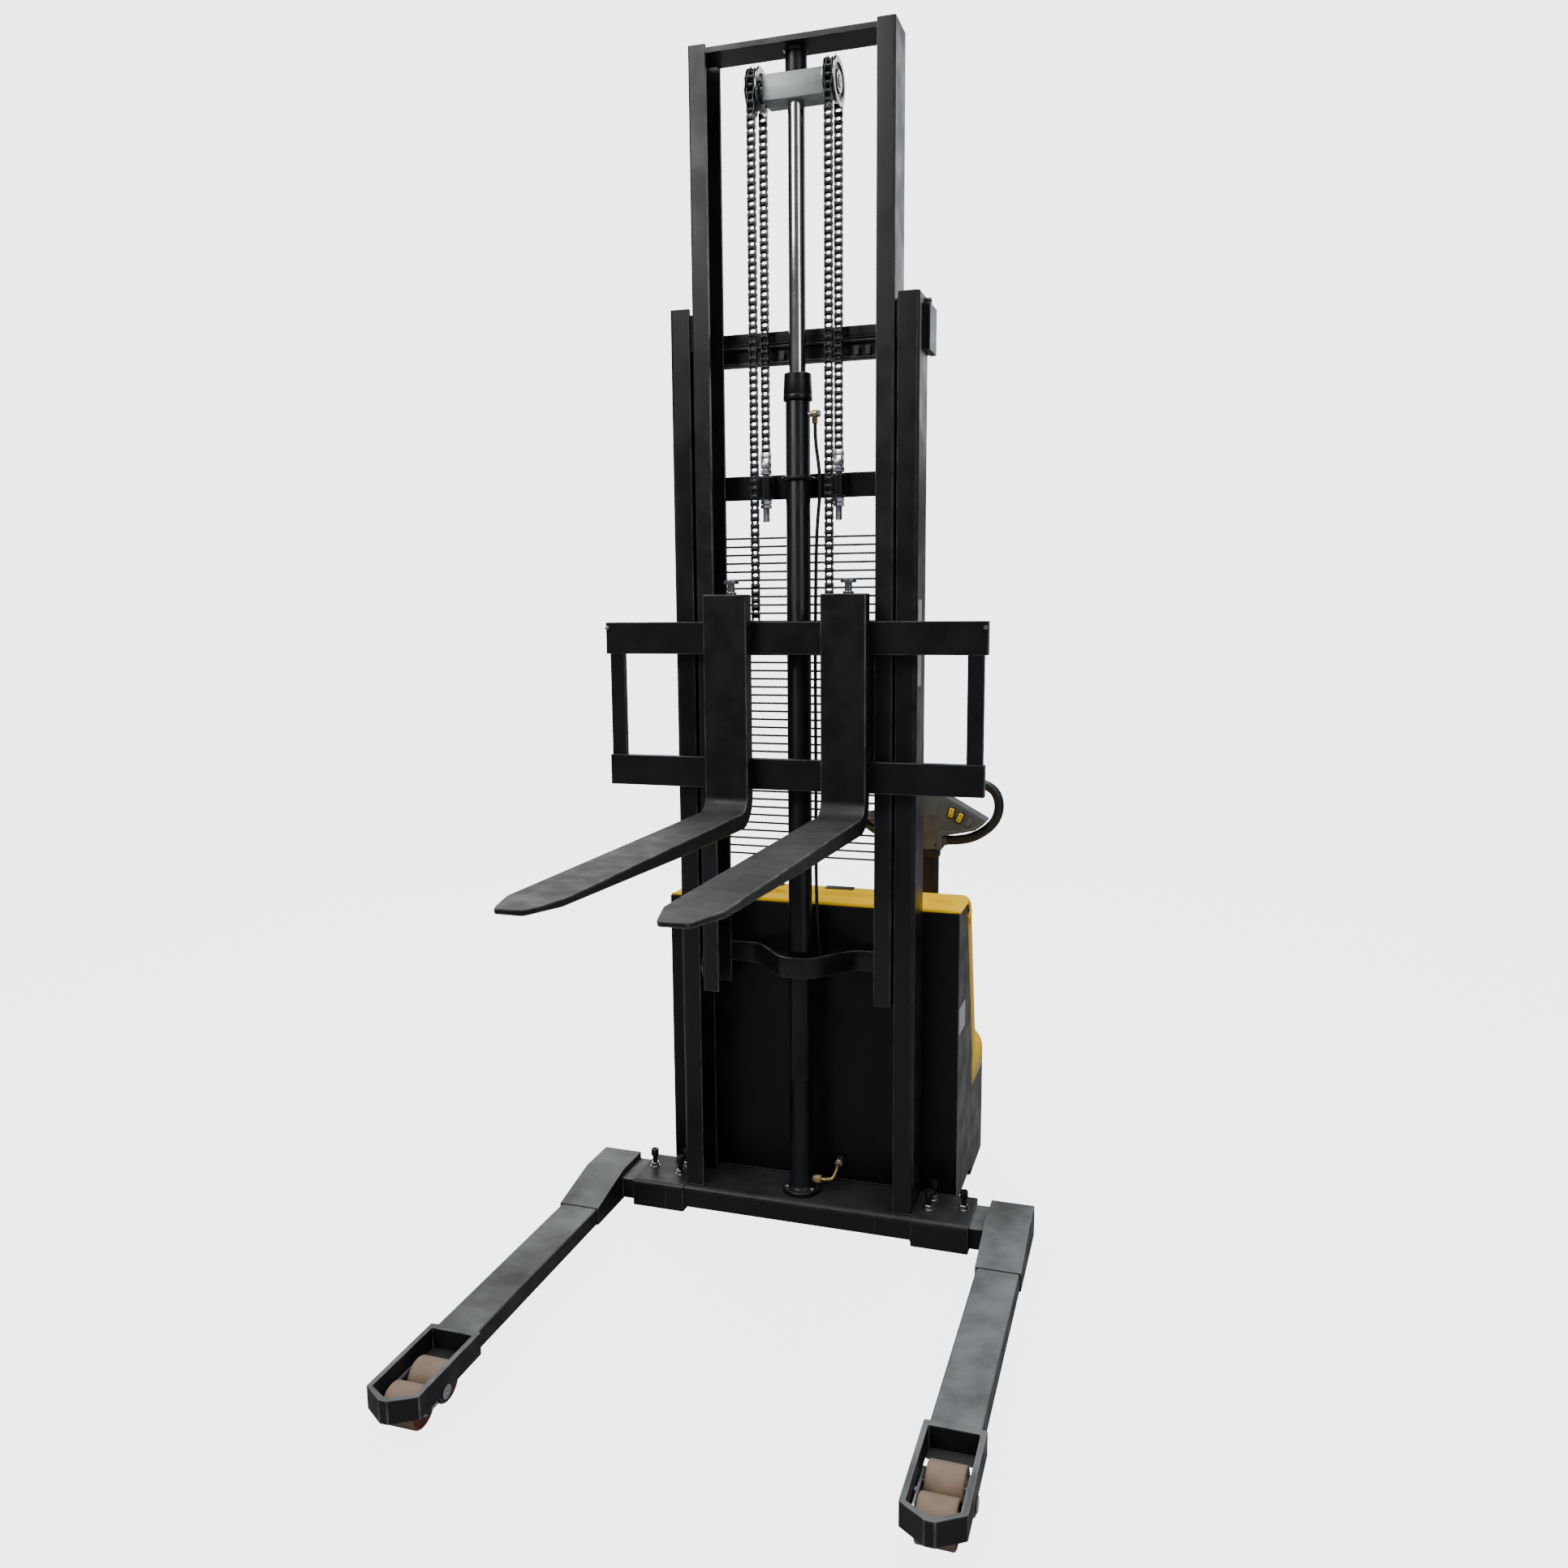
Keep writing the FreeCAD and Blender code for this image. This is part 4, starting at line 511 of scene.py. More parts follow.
def roundRect(centre, half, radius, steps=5):
    points = []
    for corner, (sx, sy) in enumerate(((1, 1), (-1, 1), (-1, -1), (1, -1))):
        for i in range(steps + 1):
            angle = math.radians(90 * corner + 90 * i / steps)
            points.append((centre[0] + sx * (half[0] - radius) + radius * math.cos(angle),
                           centre[1] + sy * (half[1] - radius) + radius * math.sin(angle)))
    return points


def tubeMesh(name, points, radius, steps):
    # a round bar along a smooth line through its control points
    data = bpy.data.curves.new(name, "CURVE")
    data.dimensions = "3D"
    data.bevel_depth = radius
    data.bevel_resolution = max(1, steps // 4 - 1)
    data.use_fill_caps = True
    spline = data.splines.new("NURBS")
    spline.points.add(len(points) - 1)
    for point, spot in zip(spline.points, points):
        point.co = (*spot, 1)
    spline.order_u = 3
    spline.use_endpoint_u = True
    spline.resolution_u = 8
    holder = bpy.data.objects.new(name, data)
    scene.collection.objects.link(holder)
    mesh = bpy.data.meshes.new_from_object(holder.evaluated_get(bpy.context.evaluated_depsgraph_get()))
    bpy.data.objects.remove(holder)
    shape = bmesh.new()
    shape.from_mesh(mesh)
    bmesh.ops.remove_doubles(shape, verts=shape.verts, dist=0.00001)
    return closeMesh(shape, name)


# uprights: rolled sections, round on the outside corners
uprightSet = {"outerRound": 0.009, "innerRound": 0.006, "steps": 4, "lip": 0.0016}
for word, side in sides.items():
    for stage, half, radius, finish in (("outer", 0.277, uprightSet["outerRound"], "mastPaint"),
                                        ("inner", 0.225, uprightSet["innerRound"], "innerPaint")):
        outside = lambda mid, way, x=half * side: abs(mid.x - x) < 0.001 and abs(way.z) > 0.3
        soften(f"{stage}_mast_{word}", finish, uprightSet["lip"], rounds=[(outside, radius, uprightSet["steps"])])
print("uprights ready")

plainSet = {
    "mast_top_tie": ("mastPaint", 0.002), "mast_mid_tie": ("mastPaint", 0.0015),
    "inner_mast_top_bar": ("innerPaint", 0.001), "piston_rod": ("rodChrome", 0.0008),
    "mast_rollers": ("rollerSteel", 0.0015),
    "carriage_top_bar": ("mastPaint", 0.0016), "carriage_bottom_bar": ("mastPaint", 0.0016),
    "carriage_frame": ("mastPaint", 0.0014), "carriage_rollers_upper": ("rollerSteel", 0.0015),
    "carriage_rollers_lower": ("rollerSteel", 0.0015), "chain_fixings": ("mastPaint", 0.0015),
    "battery_box": ("boxPaint", 0.0012), "chassis": ("boxPaint", 0.0016),
    "battery": ("batteryCase", 0.003), "power_pack": ("castIron", 0.002),
    "drive_unit": ("castIron", 0.002), "drive_wheel": ("tyreRubber", 0.006),
    "caster_fork": ("zincPlate", 0.002), "caster_wheel": ("tyreRubber", 0.004),
}
for word in sides:
    plainSet[f"fork_{word}"] = ("forkPaint", 0.003)
    plainSet[f"fork_latch_{word}"] = ("zincPlate", 0.001)

for node, (finish, width) in plainSet.items():
    soften(node, finish, width)

# the deck and its sleeves are folded plate, the leg tubes are drawn section: both have round long edges
soften("base_beam", "framePaint", 0.0015, rounds=[
       (lambda mid, way: mid.z > 0.111 and mid.y < 0.175 and abs(way.y) + abs(way.z) < 0.001, 0.011, 5)])
for word in sides:
    soften(f"leg_{word}", "legPaint", 0.0022, 2,
           [(lambda mid, way: abs(mid.z - 0.091) < 0.0015 and abs(way.y) > 0.2, 0.007, 4)])
print("CAD copies ready")


# Geometry Nodes helpers
def startTree(name, inputs):
    return makeGroup(name, "GeometryNodeTree", [("Geometry", "Geometry", None), *inputs],
                     [("Geometry", "Geometry")])


def endTree(tree, geometry, material, out):
    real = addNode(tree, "GeometryNodeRealizeInstances", {"Geometry": geometry})
    painted = addNode(tree, "GeometryNodeSetMaterial", {"Geometry": real.outputs[0], "Material": material})
    tree.links.new(painted.outputs[0], out["Geometry"])


def runTree(name, tree, source, values):
    # runs a tree on a plain mesh and gives back the finished plain mesh
    holder = bpy.data.objects.new(name + "_source", source)
    scene.collection.objects.link(holder)
    modifier = holder.modifiers.new("build", "NODES")
    modifier.node_group = tree
    for item in tree.interface.items_tree:
        if item.item_type == "SOCKET" and item.in_out == "INPUT" and item.name in values:
            modifier[item.identifier] = values[item.name]
    holder.update_tag()
    ready = holder.evaluated_get(bpy.context.evaluated_depsgraph_get())
    mesh = bpy.data.meshes.new_from_object(ready)
    mesh.name = name
    bpy.data.objects.remove(holder)
    return mesh


def joinMeshes(name, meshes, smoothAngle=35):
    shape = bmesh.new()
    for mesh in meshes:
        shape.from_mesh(mesh)
    return storeMesh(shape, name, smoothAngle)


def pathMesh(name, points):
    mesh = bpy.data.meshes.new(name)
    mesh.from_pydata([tuple(p) for p in points], [(i, i + 1) for i in range(len(points) - 1)], [])
    return mesh


# roller chain: a link set on every pitch along a path, narrow and wide plates in turn
chainSet = {"pitch": 0.015875, "roller": 0.0051, "rollerWidth": 0.0096, "pin": 0.0026, "pinWidth": 0.0196,
            "plateHigh": 0.0142, "waist": 0.0098, "plateThick": 0.0017, "innerPlace": 0.0058, "outerPlace": 0.0078,
            "sides": 12, "halfWide": 0.0098, "ends": 0.004}


def plateOutline(pitch, high, waist):
    # a figure of eight along Z with its eyes on two pins
    points = []
    radius = high / 2
    for centre, start in ((0.0, 205), (pitch, 25)):
        for step in range(6):
            angle = math.radians(start + step * 26)
            points.append((radius * math.cos(angle), centre + radius * math.sin(angle)))
        points.append((waist / 2 * (1 if start == 205 else -1), pitch / 2))
    return points


def makeLink(name, place):
    # one pair of plates, drawn between this pin and the next
    shape = bmesh.new()
    outline = plateOutline(chainSet["pitch"], chainSet["plateHigh"], chainSet["waist"])
    for side in (-1, 1):
        near = side * place - chainSet["plateThick"] / 2
        rings = [[shape.verts.new((x, y, z)) for y, z in outline] for x in (near, near + chainSet["plateThick"])]
        shape.faces.new(rings[0])
        shape.faces.new(list(reversed(rings[1])))
        joinRings(shape, rings[1], rings[0])
    return bpy.data.objects.new(name, closeMesh(shape, name))


def makeChainTree():
    tree, given, out = startTree("rollerChain", [
        ("Plates", "Object", None), ("Wide Plates", "Object", None), ("Roller Radius", "Float", 0.005),
        ("Roller Width", "Float", 0.0096), ("Pin Radius", "Float", 0.0026), ("Pin Width", "Float", 0.0196),
        ("Sides", "Int", 12), ("Pitch", "Float", 0.015875), ("Material", "Material", None)])
    curve = addNode(tree, "GeometryNodeMeshToCurve", {"Mesh": given["Geometry"]})
    spread = addNode(tree, "GeometryNodeResampleCurve", {"Curve": curve.outputs[0], "Length": given["Pitch"]},
                     mode="LENGTH")
    # the runs lie in planes square to X, so X stays the pin axis
    tangent = addNode(tree, "GeometryNodeInputTangent")
    turn = addNode(tree, "FunctionNodeAlignRotationToVector", {"Vector": tangent.outputs[0]}, axis="Z",
                   pivot_axis="X")
    number = addNode(tree, "GeometryNodeInputIndex")
    odd = addNode(tree, "ShaderNodeMath", {0: number.outputs[0], 1: 2.0}, operation="MODULO")
    even = addNode(tree, "ShaderNodeMath", {0: 1.0, 1: odd.outputs[0]}, operation="SUBTRACT")
    pieces = []
    for radius, width in (("Roller Radius", "Roller Width"), ("Pin Radius", "Pin Width")):
        bar = addNode(tree, "GeometryNodeMeshCylinder", {"Vertices": given["Sides"], "Radius": given[radius],
                                                         "Depth": given[width]})
        lying = addNode(tree, "GeometryNodeTransform",
                        {"Geometry": bar.outputs[0], "Rotation": (0, math.pi / 2, 0)})
        pieces.append((lying.outputs[0], None))
    for label, chosen in (("Plates", odd), ("Wide Plates", even)):
        info = addNode(tree, "GeometryNodeObjectInfo", {"Object": given[label]})
        pieces.append((info.outputs["Geometry"], chosen.outputs[0]))
    join = addNode(tree, "GeometryNodeJoinGeometry")
    for geometry, chosen in pieces:
        sockets = {"Points": spread.outputs[0], "Instance": geometry, "Rotation": turn.outputs[0]}
        if chosen:
            sockets["Selection"] = chosen
        placed = addNode(tree, "GeometryNodeInstanceOnPoints", sockets)
        tree.links.new(placed.outputs[0], join.inputs[0])
    endTree(tree, join.outputs[0], given["Material"], out)
    return tree


chainTree = makeChainTree()
narrowLink = makeLink("narrowLink", chainSet["innerPlace"])
wideLink = makeLink("wideLink", chainSet["outerPlace"])


def makeChain(name, points):
    values = {"Plates": narrowLink, "Wide Plates": wideLink, "Roller Radius": chainSet["roller"],
              "Roller Width": chainSet["rollerWidth"], "Pin Radius": chainSet["pin"],
              "Pin Width": chainSet["pinWidth"], "Sides": chainSet["sides"], "Pitch": chainSet["pitch"],
              "Material": finishes["chainSteel"]}
    paths = {word: [(side * chainAcross, y, z) for y, z in points] for word, side in sides.items()}
    return joinMeshes(name, [runTree(f"{name}_{word}", chainTree, pathMesh(name, path), values)
                             for word, path in paths.items()])


strandLow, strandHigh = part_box("front_chains")
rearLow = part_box("rear_chains")[0]
pulleyLow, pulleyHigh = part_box("chain_pulleys")
chainAcross = strandHigh.x - chainSet["halfWide"]
pulleyMid = (pulleyLow.y + pulleyHigh.y) / 2
pulleyTop = (pulleyLow.z + pulleyHigh.z) / 2
pitchRadius = 0.04
shownPitch = chainSet["pitch"]


def wholePitches(low, high):
    # a run that ends on the pulley's level and starts on a whole pitch below it
    return high - math.floor((high - low) / shownPitch) * shownPitch


frontFoot = wholePitches(strandLow.z + chainSet["ends"], pulleyTop)
rearFoot = wholePitches(rearLow.z - chainSet["ends"], pulleyTop)
for name, node, depth, foot in (("frontChainRun", "front_chains", pulleyMid - pitchRadius, frontFoot),
                                ("rearChainRun", "rear_chains", pulleyMid + pitchRadius, rearFoot)):
    mesh = makeChain(name, [(depth, foot), (depth, pulleyTop - shownPitch)])
    mesh.materials.append(finishes["chainSteel"])
    run = bpy.data.objects.new(name, mesh)
    scene.collection.objects.link(run)
    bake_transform(run)
    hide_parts(node)

arcSteps = 24
arc = [(pulleyMid - pitchRadius * math.cos(math.pi * i / arcSteps),
        pulleyTop + pitchRadius * math.sin(math.pi * i / arcSteps)) for i in range(arcSteps + 1)]
addObject("chainOverPulleys", makeChain("chainOverPulleys", arc), "chainSteel", "inner_mast", ("chain_wraps",))
print("chains ready")


# load rollers, their rocking frames and pins
rollerSet = {"edge": 0.004, "hubInset": 0.003, "hubRadius": 0.029, "bearing": 0.0185, "axle": 0.0085,
             "bearingInset": 0.002, "play": 0.0004, "steps": 56}


def wheelMesh(name, profile, centre, steps):
    # a closed profile of distance along X, radius and finish number, turned about X
    shape = bmesh.new()
    angles = [2 * math.pi * i / steps for i in range(steps)]
    rings = [[shape.verts.new(Vector((along, radius * math.cos(angle), radius * math.sin(angle))) + Vector(centre))
              for angle in angles] for along, radius, number in profile]
    for near, far, row in zip(rings, rings[1:] + rings[:1], profile):
        joinRings(shape, near, far, row[2])
    return closeMesh(shape, name, 32)


def rollerProfile(half, radius):
    row = rollerSet
    edge, hub = row["edge"], row["hubRadius"]
    face = half - row["hubInset"]
    seat = face - row["bearingInset"]
    right = [(seat, row["axle"] + row["play"], 2), (seat, row["bearing"], 2), (face, row["bearing"] + 0.001, 1),
             (face, hub, 1), (half - 0.001, hub + 0.0025, 1), (half, radius - edge, 0)]
    right += [(half - edge + edge * math.cos(angle), radius - edge + edge * math.sin(angle), 0)
              for angle in map(math.radians, (25, 50, 75, 90))]
    left = [(-x, r, n) for x, r, n in reversed(right)]
    # each band takes the number of the row it starts from, so the left half is shifted by one
    return right + [(x, r, left[min(i + 1, len(left) - 1)][2]) for i, (x, r, n) in enumerate(left)]


# rocking frames of the load rollers: two link plates, axles with bolt heads and a pivot pin on either side
bogieSet = {"pivotZ": 0.050, "plateX": 0.0390, "plateZ": 0.045, "plate": (0.054, 0.019), "corner": 0.011,
            "halfThick": 0.0025, "axleY": 0.040, "axleZ": 0.038, "axleHalf": 0.041, "pinOut": 0.0585}
row = bogieSet
headProfile = [(0, 0, 0), (0, 0.0075, 0), (0.0015, 0.0085, 0), (0.0035, 0.0085, 0), (0.0045, 0.0070, 0),
               (0.0045, 0, 0)]
pinProfile = [(0.0365, 0, 0), (0.0365, 0.009, 0), (0.0545, 0.009, 0), (0.0548, 0.0125, 0), (0.0575, 0.0135, 0),
              (row["pinOut"], 0.0115, 0), (row["pinOut"], 0.004, 0), (0.0565, 0.003, 0), (0.0565, 0, 0)]
axleProfile = [(-row["axleHalf"], 0, 0), (-row["axleHalf"], 0.008, 0), (row["axleHalf"], 0.008, 0),
               (row["axleHalf"], 0, 0)]
for word in sides:
    for end in ("front", "rear"):
        node = f"load_roller_{word}_{end}"
        low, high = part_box(node)
        profile = rollerProfile((high.x - low.x) / 2, (high.z - low.z) / 2)
        addFine(node, [(wheelMesh(node, profile, (low + high) / 2, rollerSet["steps"]),
                        ["rollerTread", "rollerHub", "rollerSteel"])])
    low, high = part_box(f"bogie_{word}")
    middle = (low + high) / 2
    parts = []
    for across in (-1, 1):
        place = middle.x + across * row["plateX"]
        plate = prismMesh("link", roundRect((middle.y, row["plateZ"]), row["plate"], row["corner"]),
                          place - row["halfThick"], place + row["halfThick"], "x", 0.0006, 1)
        parts.append((plate, "zincPlate"))
        for offset in (-row["axleY"], row["axleY"]):
            head = turned("axleHead", headProfile, (0, 0, 0), "x", 20)
            spot = (place + across * row["halfThick"], middle.y + offset, row["axleZ"])
            parts.append((mirrored(head, across, spot), "blackOxide"))
        pin = turned("pivotPin", pinProfile, (0, 0, 0), "x", 28)
        parts.append((mirrored(pin, across, (middle.x, middle.y, row["pivotZ"])), "zincPlate"))
    for offset in (-row["axleY"], row["axleY"]):
        parts.append((turned("axle", axleProfile, (middle.x, middle.y + offset, row["axleZ"]), "x", 20),
                      "rollerSteel"))
    addFine(f"bogie_{word}", parts)
print("load rollers ready")

# chain pulleys: dished side with a bright rim, a dark ring and a bright hub
pulleySet = {"rim": 0.047, "root": 0.0325, "half": 0.0135, "groove": 0.0105, "dish": 0.0035, "web": 0.034,
             "hub": 0.0215, "pin": 0.0125, "steps": 64}
row = pulleySet
half, rim, web, hub, groove = (row[key] for key in ("half", "rim", "web", "hub", "groove"))
outline = [(-half, row["pin"] + 0.0002), (-half, hub), (-half + row["dish"], hub + 0.001),
           (-half + row["dish"], web), (-half + 0.0004, web + 0.0015), (-half, web + 0.003), (-half, rim - 0.0012),
           (-half + 0.0008, rim), (-groove - 0.0006, rim), (-groove, rim - 0.0015), (-groove + 0.001, row["root"])]
outline += [(-along, radius) for along, radius in reversed(outline)]
profile = []
for (along, radius), following in zip(outline, outline[1:] + outline[:1]):
    darkRing = hub + 0.0004 < (radius + following[1]) / 2 < web + 0.001 and abs(along) > groove - 0.002
    profile.append((along, radius, 1 if darkRing else 0))
pulleyParts = [(wheelMesh("pulley", profile, (side * chainAcross, pulleyMid, pulleyTop), row["steps"]),
                ["rollerSteel", "blackOxide"]) for side in sides.values()]
addFine("chain_pulleys", pulleyParts)
print("pulleys ready")


# leak-off hose: it leaves the gland, passes the clamp and runs down behind the barrel into the power section
hoseRoute = [(0.041, 0.228, 1.890), (0.041, 0.228, 1.845), (0.047, 0.238, 1.790), (0.047, 0.248, 1.740),
             (0.037, 0.258, 1.670), (0.033, 0.260, 1.590), (0.031, 0.258, 1.370), (0.032, 0.258, 1.130),
             (0.031, 0.259, 0.890), (0.033, 0.261, 0.760), (0.035, 0.276, 0.690), (0.036, 0.298, 0.660),
             (0.036, 0.313, 0.660)]
hoseData = bpy.data.curves.new("leakOffHose", "CURVE")
hoseData.dimensions = "3D"
hoseData.bevel_depth = 0.004
hoseData.bevel_resolution = 4
hoseLine = hoseData.splines.new("NURBS")
hoseLine.points.add(len(hoseRoute) - 1)
for point, spot in zip(hoseLine.points, hoseRoute):
    point.co = (*spot, 1)
hoseLine.order_u = 3
hoseLine.use_endpoint_u = True
hoseLine.resolution_u = 12
hoseData.materials.append(finishes["hoseRubber"])
leakOffHose = bpy.data.objects.new("leakOffHose", hoseData)
scene.collection.objects.link(leakOffHose)
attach(leakOffHose, "frame")
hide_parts("leak_off_hose")
print("hose ready")


# repeated fixings: one shape on every point of a plain point mesh
def makeRepeatTree():
    tree, given, out = startTree("placedRepeats", [("Piece", "Object", None), ("Turn", "Vector", (0, 0, 0)),
                                                   ("Size", "Float", 1.0), ("Material", "Material", None)])
    points = addNode(tree, "GeometryNodeMeshToPoints", {"Mesh": given["Geometry"]})
    info = addNode(tree, "GeometryNodeObjectInfo", {"Object": given["Piece"]})
    placed = addNode(tree, "GeometryNodeInstanceOnPoints", {
        "Points": points.outputs[0], "Instance": info.outputs["Geometry"], "Rotation": given["Turn"],
        "Scale": given["Size"]})
    endTree(tree, placed.outputs[0], given["Material"], out)
    return tree


repeatTree = makeRepeatTree()


def repeatMesh(name, shapeMesh, points, finish, turn=(0, 0, 0), size=1.0):
    piece = bpy.data.objects.new(name + "_one", shapeMesh)
    source = bpy.data.meshes.new(name)
    source.from_pydata([tuple(p) for p in points], [], [])
    values = {"Piece": piece, "Turn": turn, "Size": size, "Material": finishes[finish]}
    return runTree(name, repeatTree, source, values), finish


def nutMesh(name, across, thick, bore):
    return turned(name, [(0, bore, 0), (0, across * 0.52, 0), (thick * 0.12, across * 0.577, 0),
                         (thick * 0.88, across * 0.577, 0), (thick, across * 0.52, 0), (thick, bore, 0)],
                  (0, 0, 0), "z", 6, True)


def washerMesh(name, radius, thick, bore):
    return turned(name, [(0, bore, 0), (0, radius, 0), (thick * 0.7, radius, 0), (thick, radius * 0.95, 0),
                         (thick, bore, 0)], (0, 0, 0), "z", 24)


def socketScrew(name, headRadius, headHigh, socket, shank, length):
    # the head stands on z 0, the shank hangs below it, and the hexagon goes down from the top
    shape = bmesh.new()
    steps = 24
    rows = [(-length, shank * 0.8), (-length + shank * 0.3, shank), (0, shank), (0, headRadius * 0.97),
            (headHigh * 0.06, headRadius), (headHigh * 0.9, headRadius), (headHigh, headRadius * 0.93),
            (headHigh, socket * 1.12), (headHigh * 0.96, socket), (headHigh * 0.45, socket * 0.98)]
    rings = []
    for z, radius in rows:
        ring = []
        for i in range(steps):
            angle = 2 * math.pi * i / steps
            bound = radius
            if radius <= socket * 1.12 and z > headHigh * 0.3:
                inSector = (angle % (math.pi / 3)) - math.pi / 6
                bound = radius * math.cos(math.pi / 6) / math.cos(inSector)
            knurl = 1 - 0.02 * (i % 2) if rows[4][0] <= z <= rows[5][0] and radius == headRadius else 1
            ring.append(shape.verts.new((bound * knurl * math.cos(angle), bound * knurl * math.sin(angle), z)))
        rings.append(ring)
    for near, far in zip(rings, rings[1:]):
        joinRings(shape, near, far)
    shape.faces.new(rings[0])
    shape.faces.new(rings[-1])
    return closeMesh(shape, name, 28)


def hexHead(name, across, high, shank, length):
    return turned(name, [(-length, 0, 0), (-length, shank, 0), (0, shank, 0), (0, across * 0.56, 0),
                         (high * 0.8, across * 0.577, 0), (high, across * 0.5, 0), (high, 0, 0)],
                  (0, 0, 0), "z", 6, True)


# leg clamp screws with their lock nuts, three on each sleeve
clampSet = {"places": ((0.308, 0.228), (0.308, 0.276), (0.385, 0.250)), "deck": 0.114, "top": 0.158,
            "head": 0.0095, "headHigh": 0.016, "socket": 0.0052, "shank": 0.006, "length": 0.030, "nut": 0.019,
            "nutThick": 0.009, "washer": 0.0125, "washerThick": 0.0018, "nutTurn": 0.35}
row = clampSet


def clampSpots(height):
    return [(side * x, y, height) for side in sides.values() for x, y in row["places"]]


screw = socketScrew("clampScrew", row["head"], row["headHigh"], row["socket"], row["shank"], row["length"])
nut = nutMesh("clampNut", row["nut"], row["nutThick"], row["shank"])
washer = washerMesh("clampWasher", row["washer"], row["washerThick"], row["shank"])
parts = [repeatMesh("clampScrews", screw, clampSpots(row["top"] - row["headHigh"]), "blackOxide"),
         repeatMesh("clampNuts", nut, clampSpots(row["deck"] + row["washerThick"]), "zincPlate",
                    (0, 0, row["nutTurn"])),
         repeatMesh("clampWashers", washer, clampSpots(row["deck"]), "zincPlate")]
addFine("leg_clamp_bolts", parts)
print("clamp screws ready")

# chain anchors: fork end, threaded stud, nuts either side of the boss
anchorSet = {"across": 0.084, "depth": 0.266, "bottom": 1.676, "clevisLow": 1.792, "top": 1.829,
             "stud": 0.0078, "tieLow": 1.727, "tieHigh": 1.780, "thread": 0.002, "cheekX": 0.0082,
             "cheekThick": 0.0018, "nut": 0.022, "washer": 0.0128, "clampZ": 1.765, "clampRadius": 0.032}


def threadProfile(low, high, radius, pitch):
    rows = []
    count = int((high - low) / pitch)
    for i in range(count):
        z = low + (high - low) * i / count
        rows += [(z, radius * 0.9, 0), (z + (high - low) / count / 2, radius, 0)]
    return [(low, 0, 0)] + rows + [(high, radius * 0.9, 0), (high, 0, 0)]


row = anchorSet
parts = []
pinProfile = [(-0.0118, 0, 0), (-0.0118, 0.0035, 0), (-0.0108, 0.0042, 0), (0.0108, 0.0042, 0),
              (0.0118, 0.0035, 0), (0.0118, 0, 0)]
middle = (row["clevisLow"] + row["top"]) / 2 + 0.002
cheekOutline = roundRect((row["depth"], middle), (0.008, (row["top"] - row["clevisLow"]) / 2 - 0.002), 0.006)
studProfile = threadProfile(row["bottom"], row["clevisLow"] + 0.002, row["stud"], row["thread"])
for side in sides.values():
    x = side * row["across"]
    parts.append((turned("stud", studProfile, (x, row["depth"], 0), "z", 16), "zincPlate"))
    for cheek in (-1, 1):
        place = x + cheek * row["cheekX"]
        parts.append((prismMesh("cheek", cheekOutline, place - row["cheekThick"], place + row["cheekThick"], "x",
                                0.0005, 1), "zincPlate"))
    parts.append((blockMesh("root", (x - 0.010, row["depth"] - 0.008, row["clevisLow"]),
                            (x + 0.010, row["depth"] + 0.008, row["clevisLow"] + 0.014), 0.0015), "zincPlate"))
    parts.append((turned("clevisPin", pinProfile, (x, row["depth"], row["top"] - 0.010), "x", 16), "rollerSteel"))
    for z, thick in ((row["tieHigh"] + 0.0020, 0.0085), (row["tieLow"] - 0.0125, 0.0085),
                     (row["tieLow"] - 0.0215, 0.008)):
        nut = nutMesh("anchorNut", row["nut"], thick, row["stud"] * 0.9)
        # every nut stands at its own angle
        nut.transform(Matrix.Translation((x, row["depth"], z)) @ Matrix.Rotation(0.3 + z * 9, 4, "Z"))
        parts.append((nut, "zincPlate"))
    for z in (row["tieHigh"], row["tieLow"] - 0.0036):
        washer = washerMesh("anchorWasher", row["washer"], 0.0018, row["stud"] * 0.9)
        washer.transform(Matrix.Translation((x, row["depth"], z)))
        parts.append((washer, "zincPlate"))
radius, level = row["clampRadius"], row["clampZ"]
legs = [(radius, y, level) for y in (0.290, 0.262, 0.246)]
bow = [(radius * math.cos(angle), 0.236 - radius * math.sin(angle), level)
       for angle in (math.radians(step * 15) for step in range(13))]
clamp = legs + bow + [(-x, y, z) for x, y, z in reversed(legs)]
parts.append((tubeMesh("barrelClamp", clamp, 0.0042, 12), "mastPaint"))
addFine("mid_tie_hardware", parts)

# lift cylinder: tube with two faint weld seams, gland with a wiper ring, rod
cylinderSet = {"y": 0.236, "radius": 0.027, "foot": 0.045, "deck": 0.112, "top": 1.930, "gland": 1.987,
               "rod": 0.0185, "seams": (0.392, 0.702), "boltCircle": 0.037, "steps": 64}
row = cylinderSet
deck, radius, foot, top, gland = (row[key] for key in ("deck", "radius", "foot", "top", "gland"))
seamShape = ((-0.003, 0), (-0.0018, 0.0006), (0, 0.0009), (0.0018, 0.0006), (0.003, 0))
profile = [(deck, 0, 0), (deck, foot, 0), (deck + 0.010, foot, 0), (deck + 0.012, foot - 0.002, 0),
           (deck + 0.012, radius + 0.005, 0), (deck + 0.015, radius + 0.002, 0), (deck + 0.019, radius, 0)]
profile += [(seam + along, radius + rise, 0) for seam in row["seams"] for along, rise in seamShape]
profile += [(top - 0.003, radius, 0), (top, radius - 0.001, 0), (top, 0, 0)]
footSpots = [(row["boltCircle"] * math.cos(angle), row["y"] + row["boltCircle"] * math.sin(angle), deck + 0.012)
             for angle in map(math.radians, (215, 325, 35, 145))]
footBolt = hexHead("footBolt", 0.010, 0.0065, 0.003, 0.004)
addFine("cylinder_barrel", [(turned("barrel", profile, (0, row["y"], 0), "z", row["steps"]), "mastPaint"),
                            repeatMesh("footBolts", footBolt, footSpots, "zincPlate")])
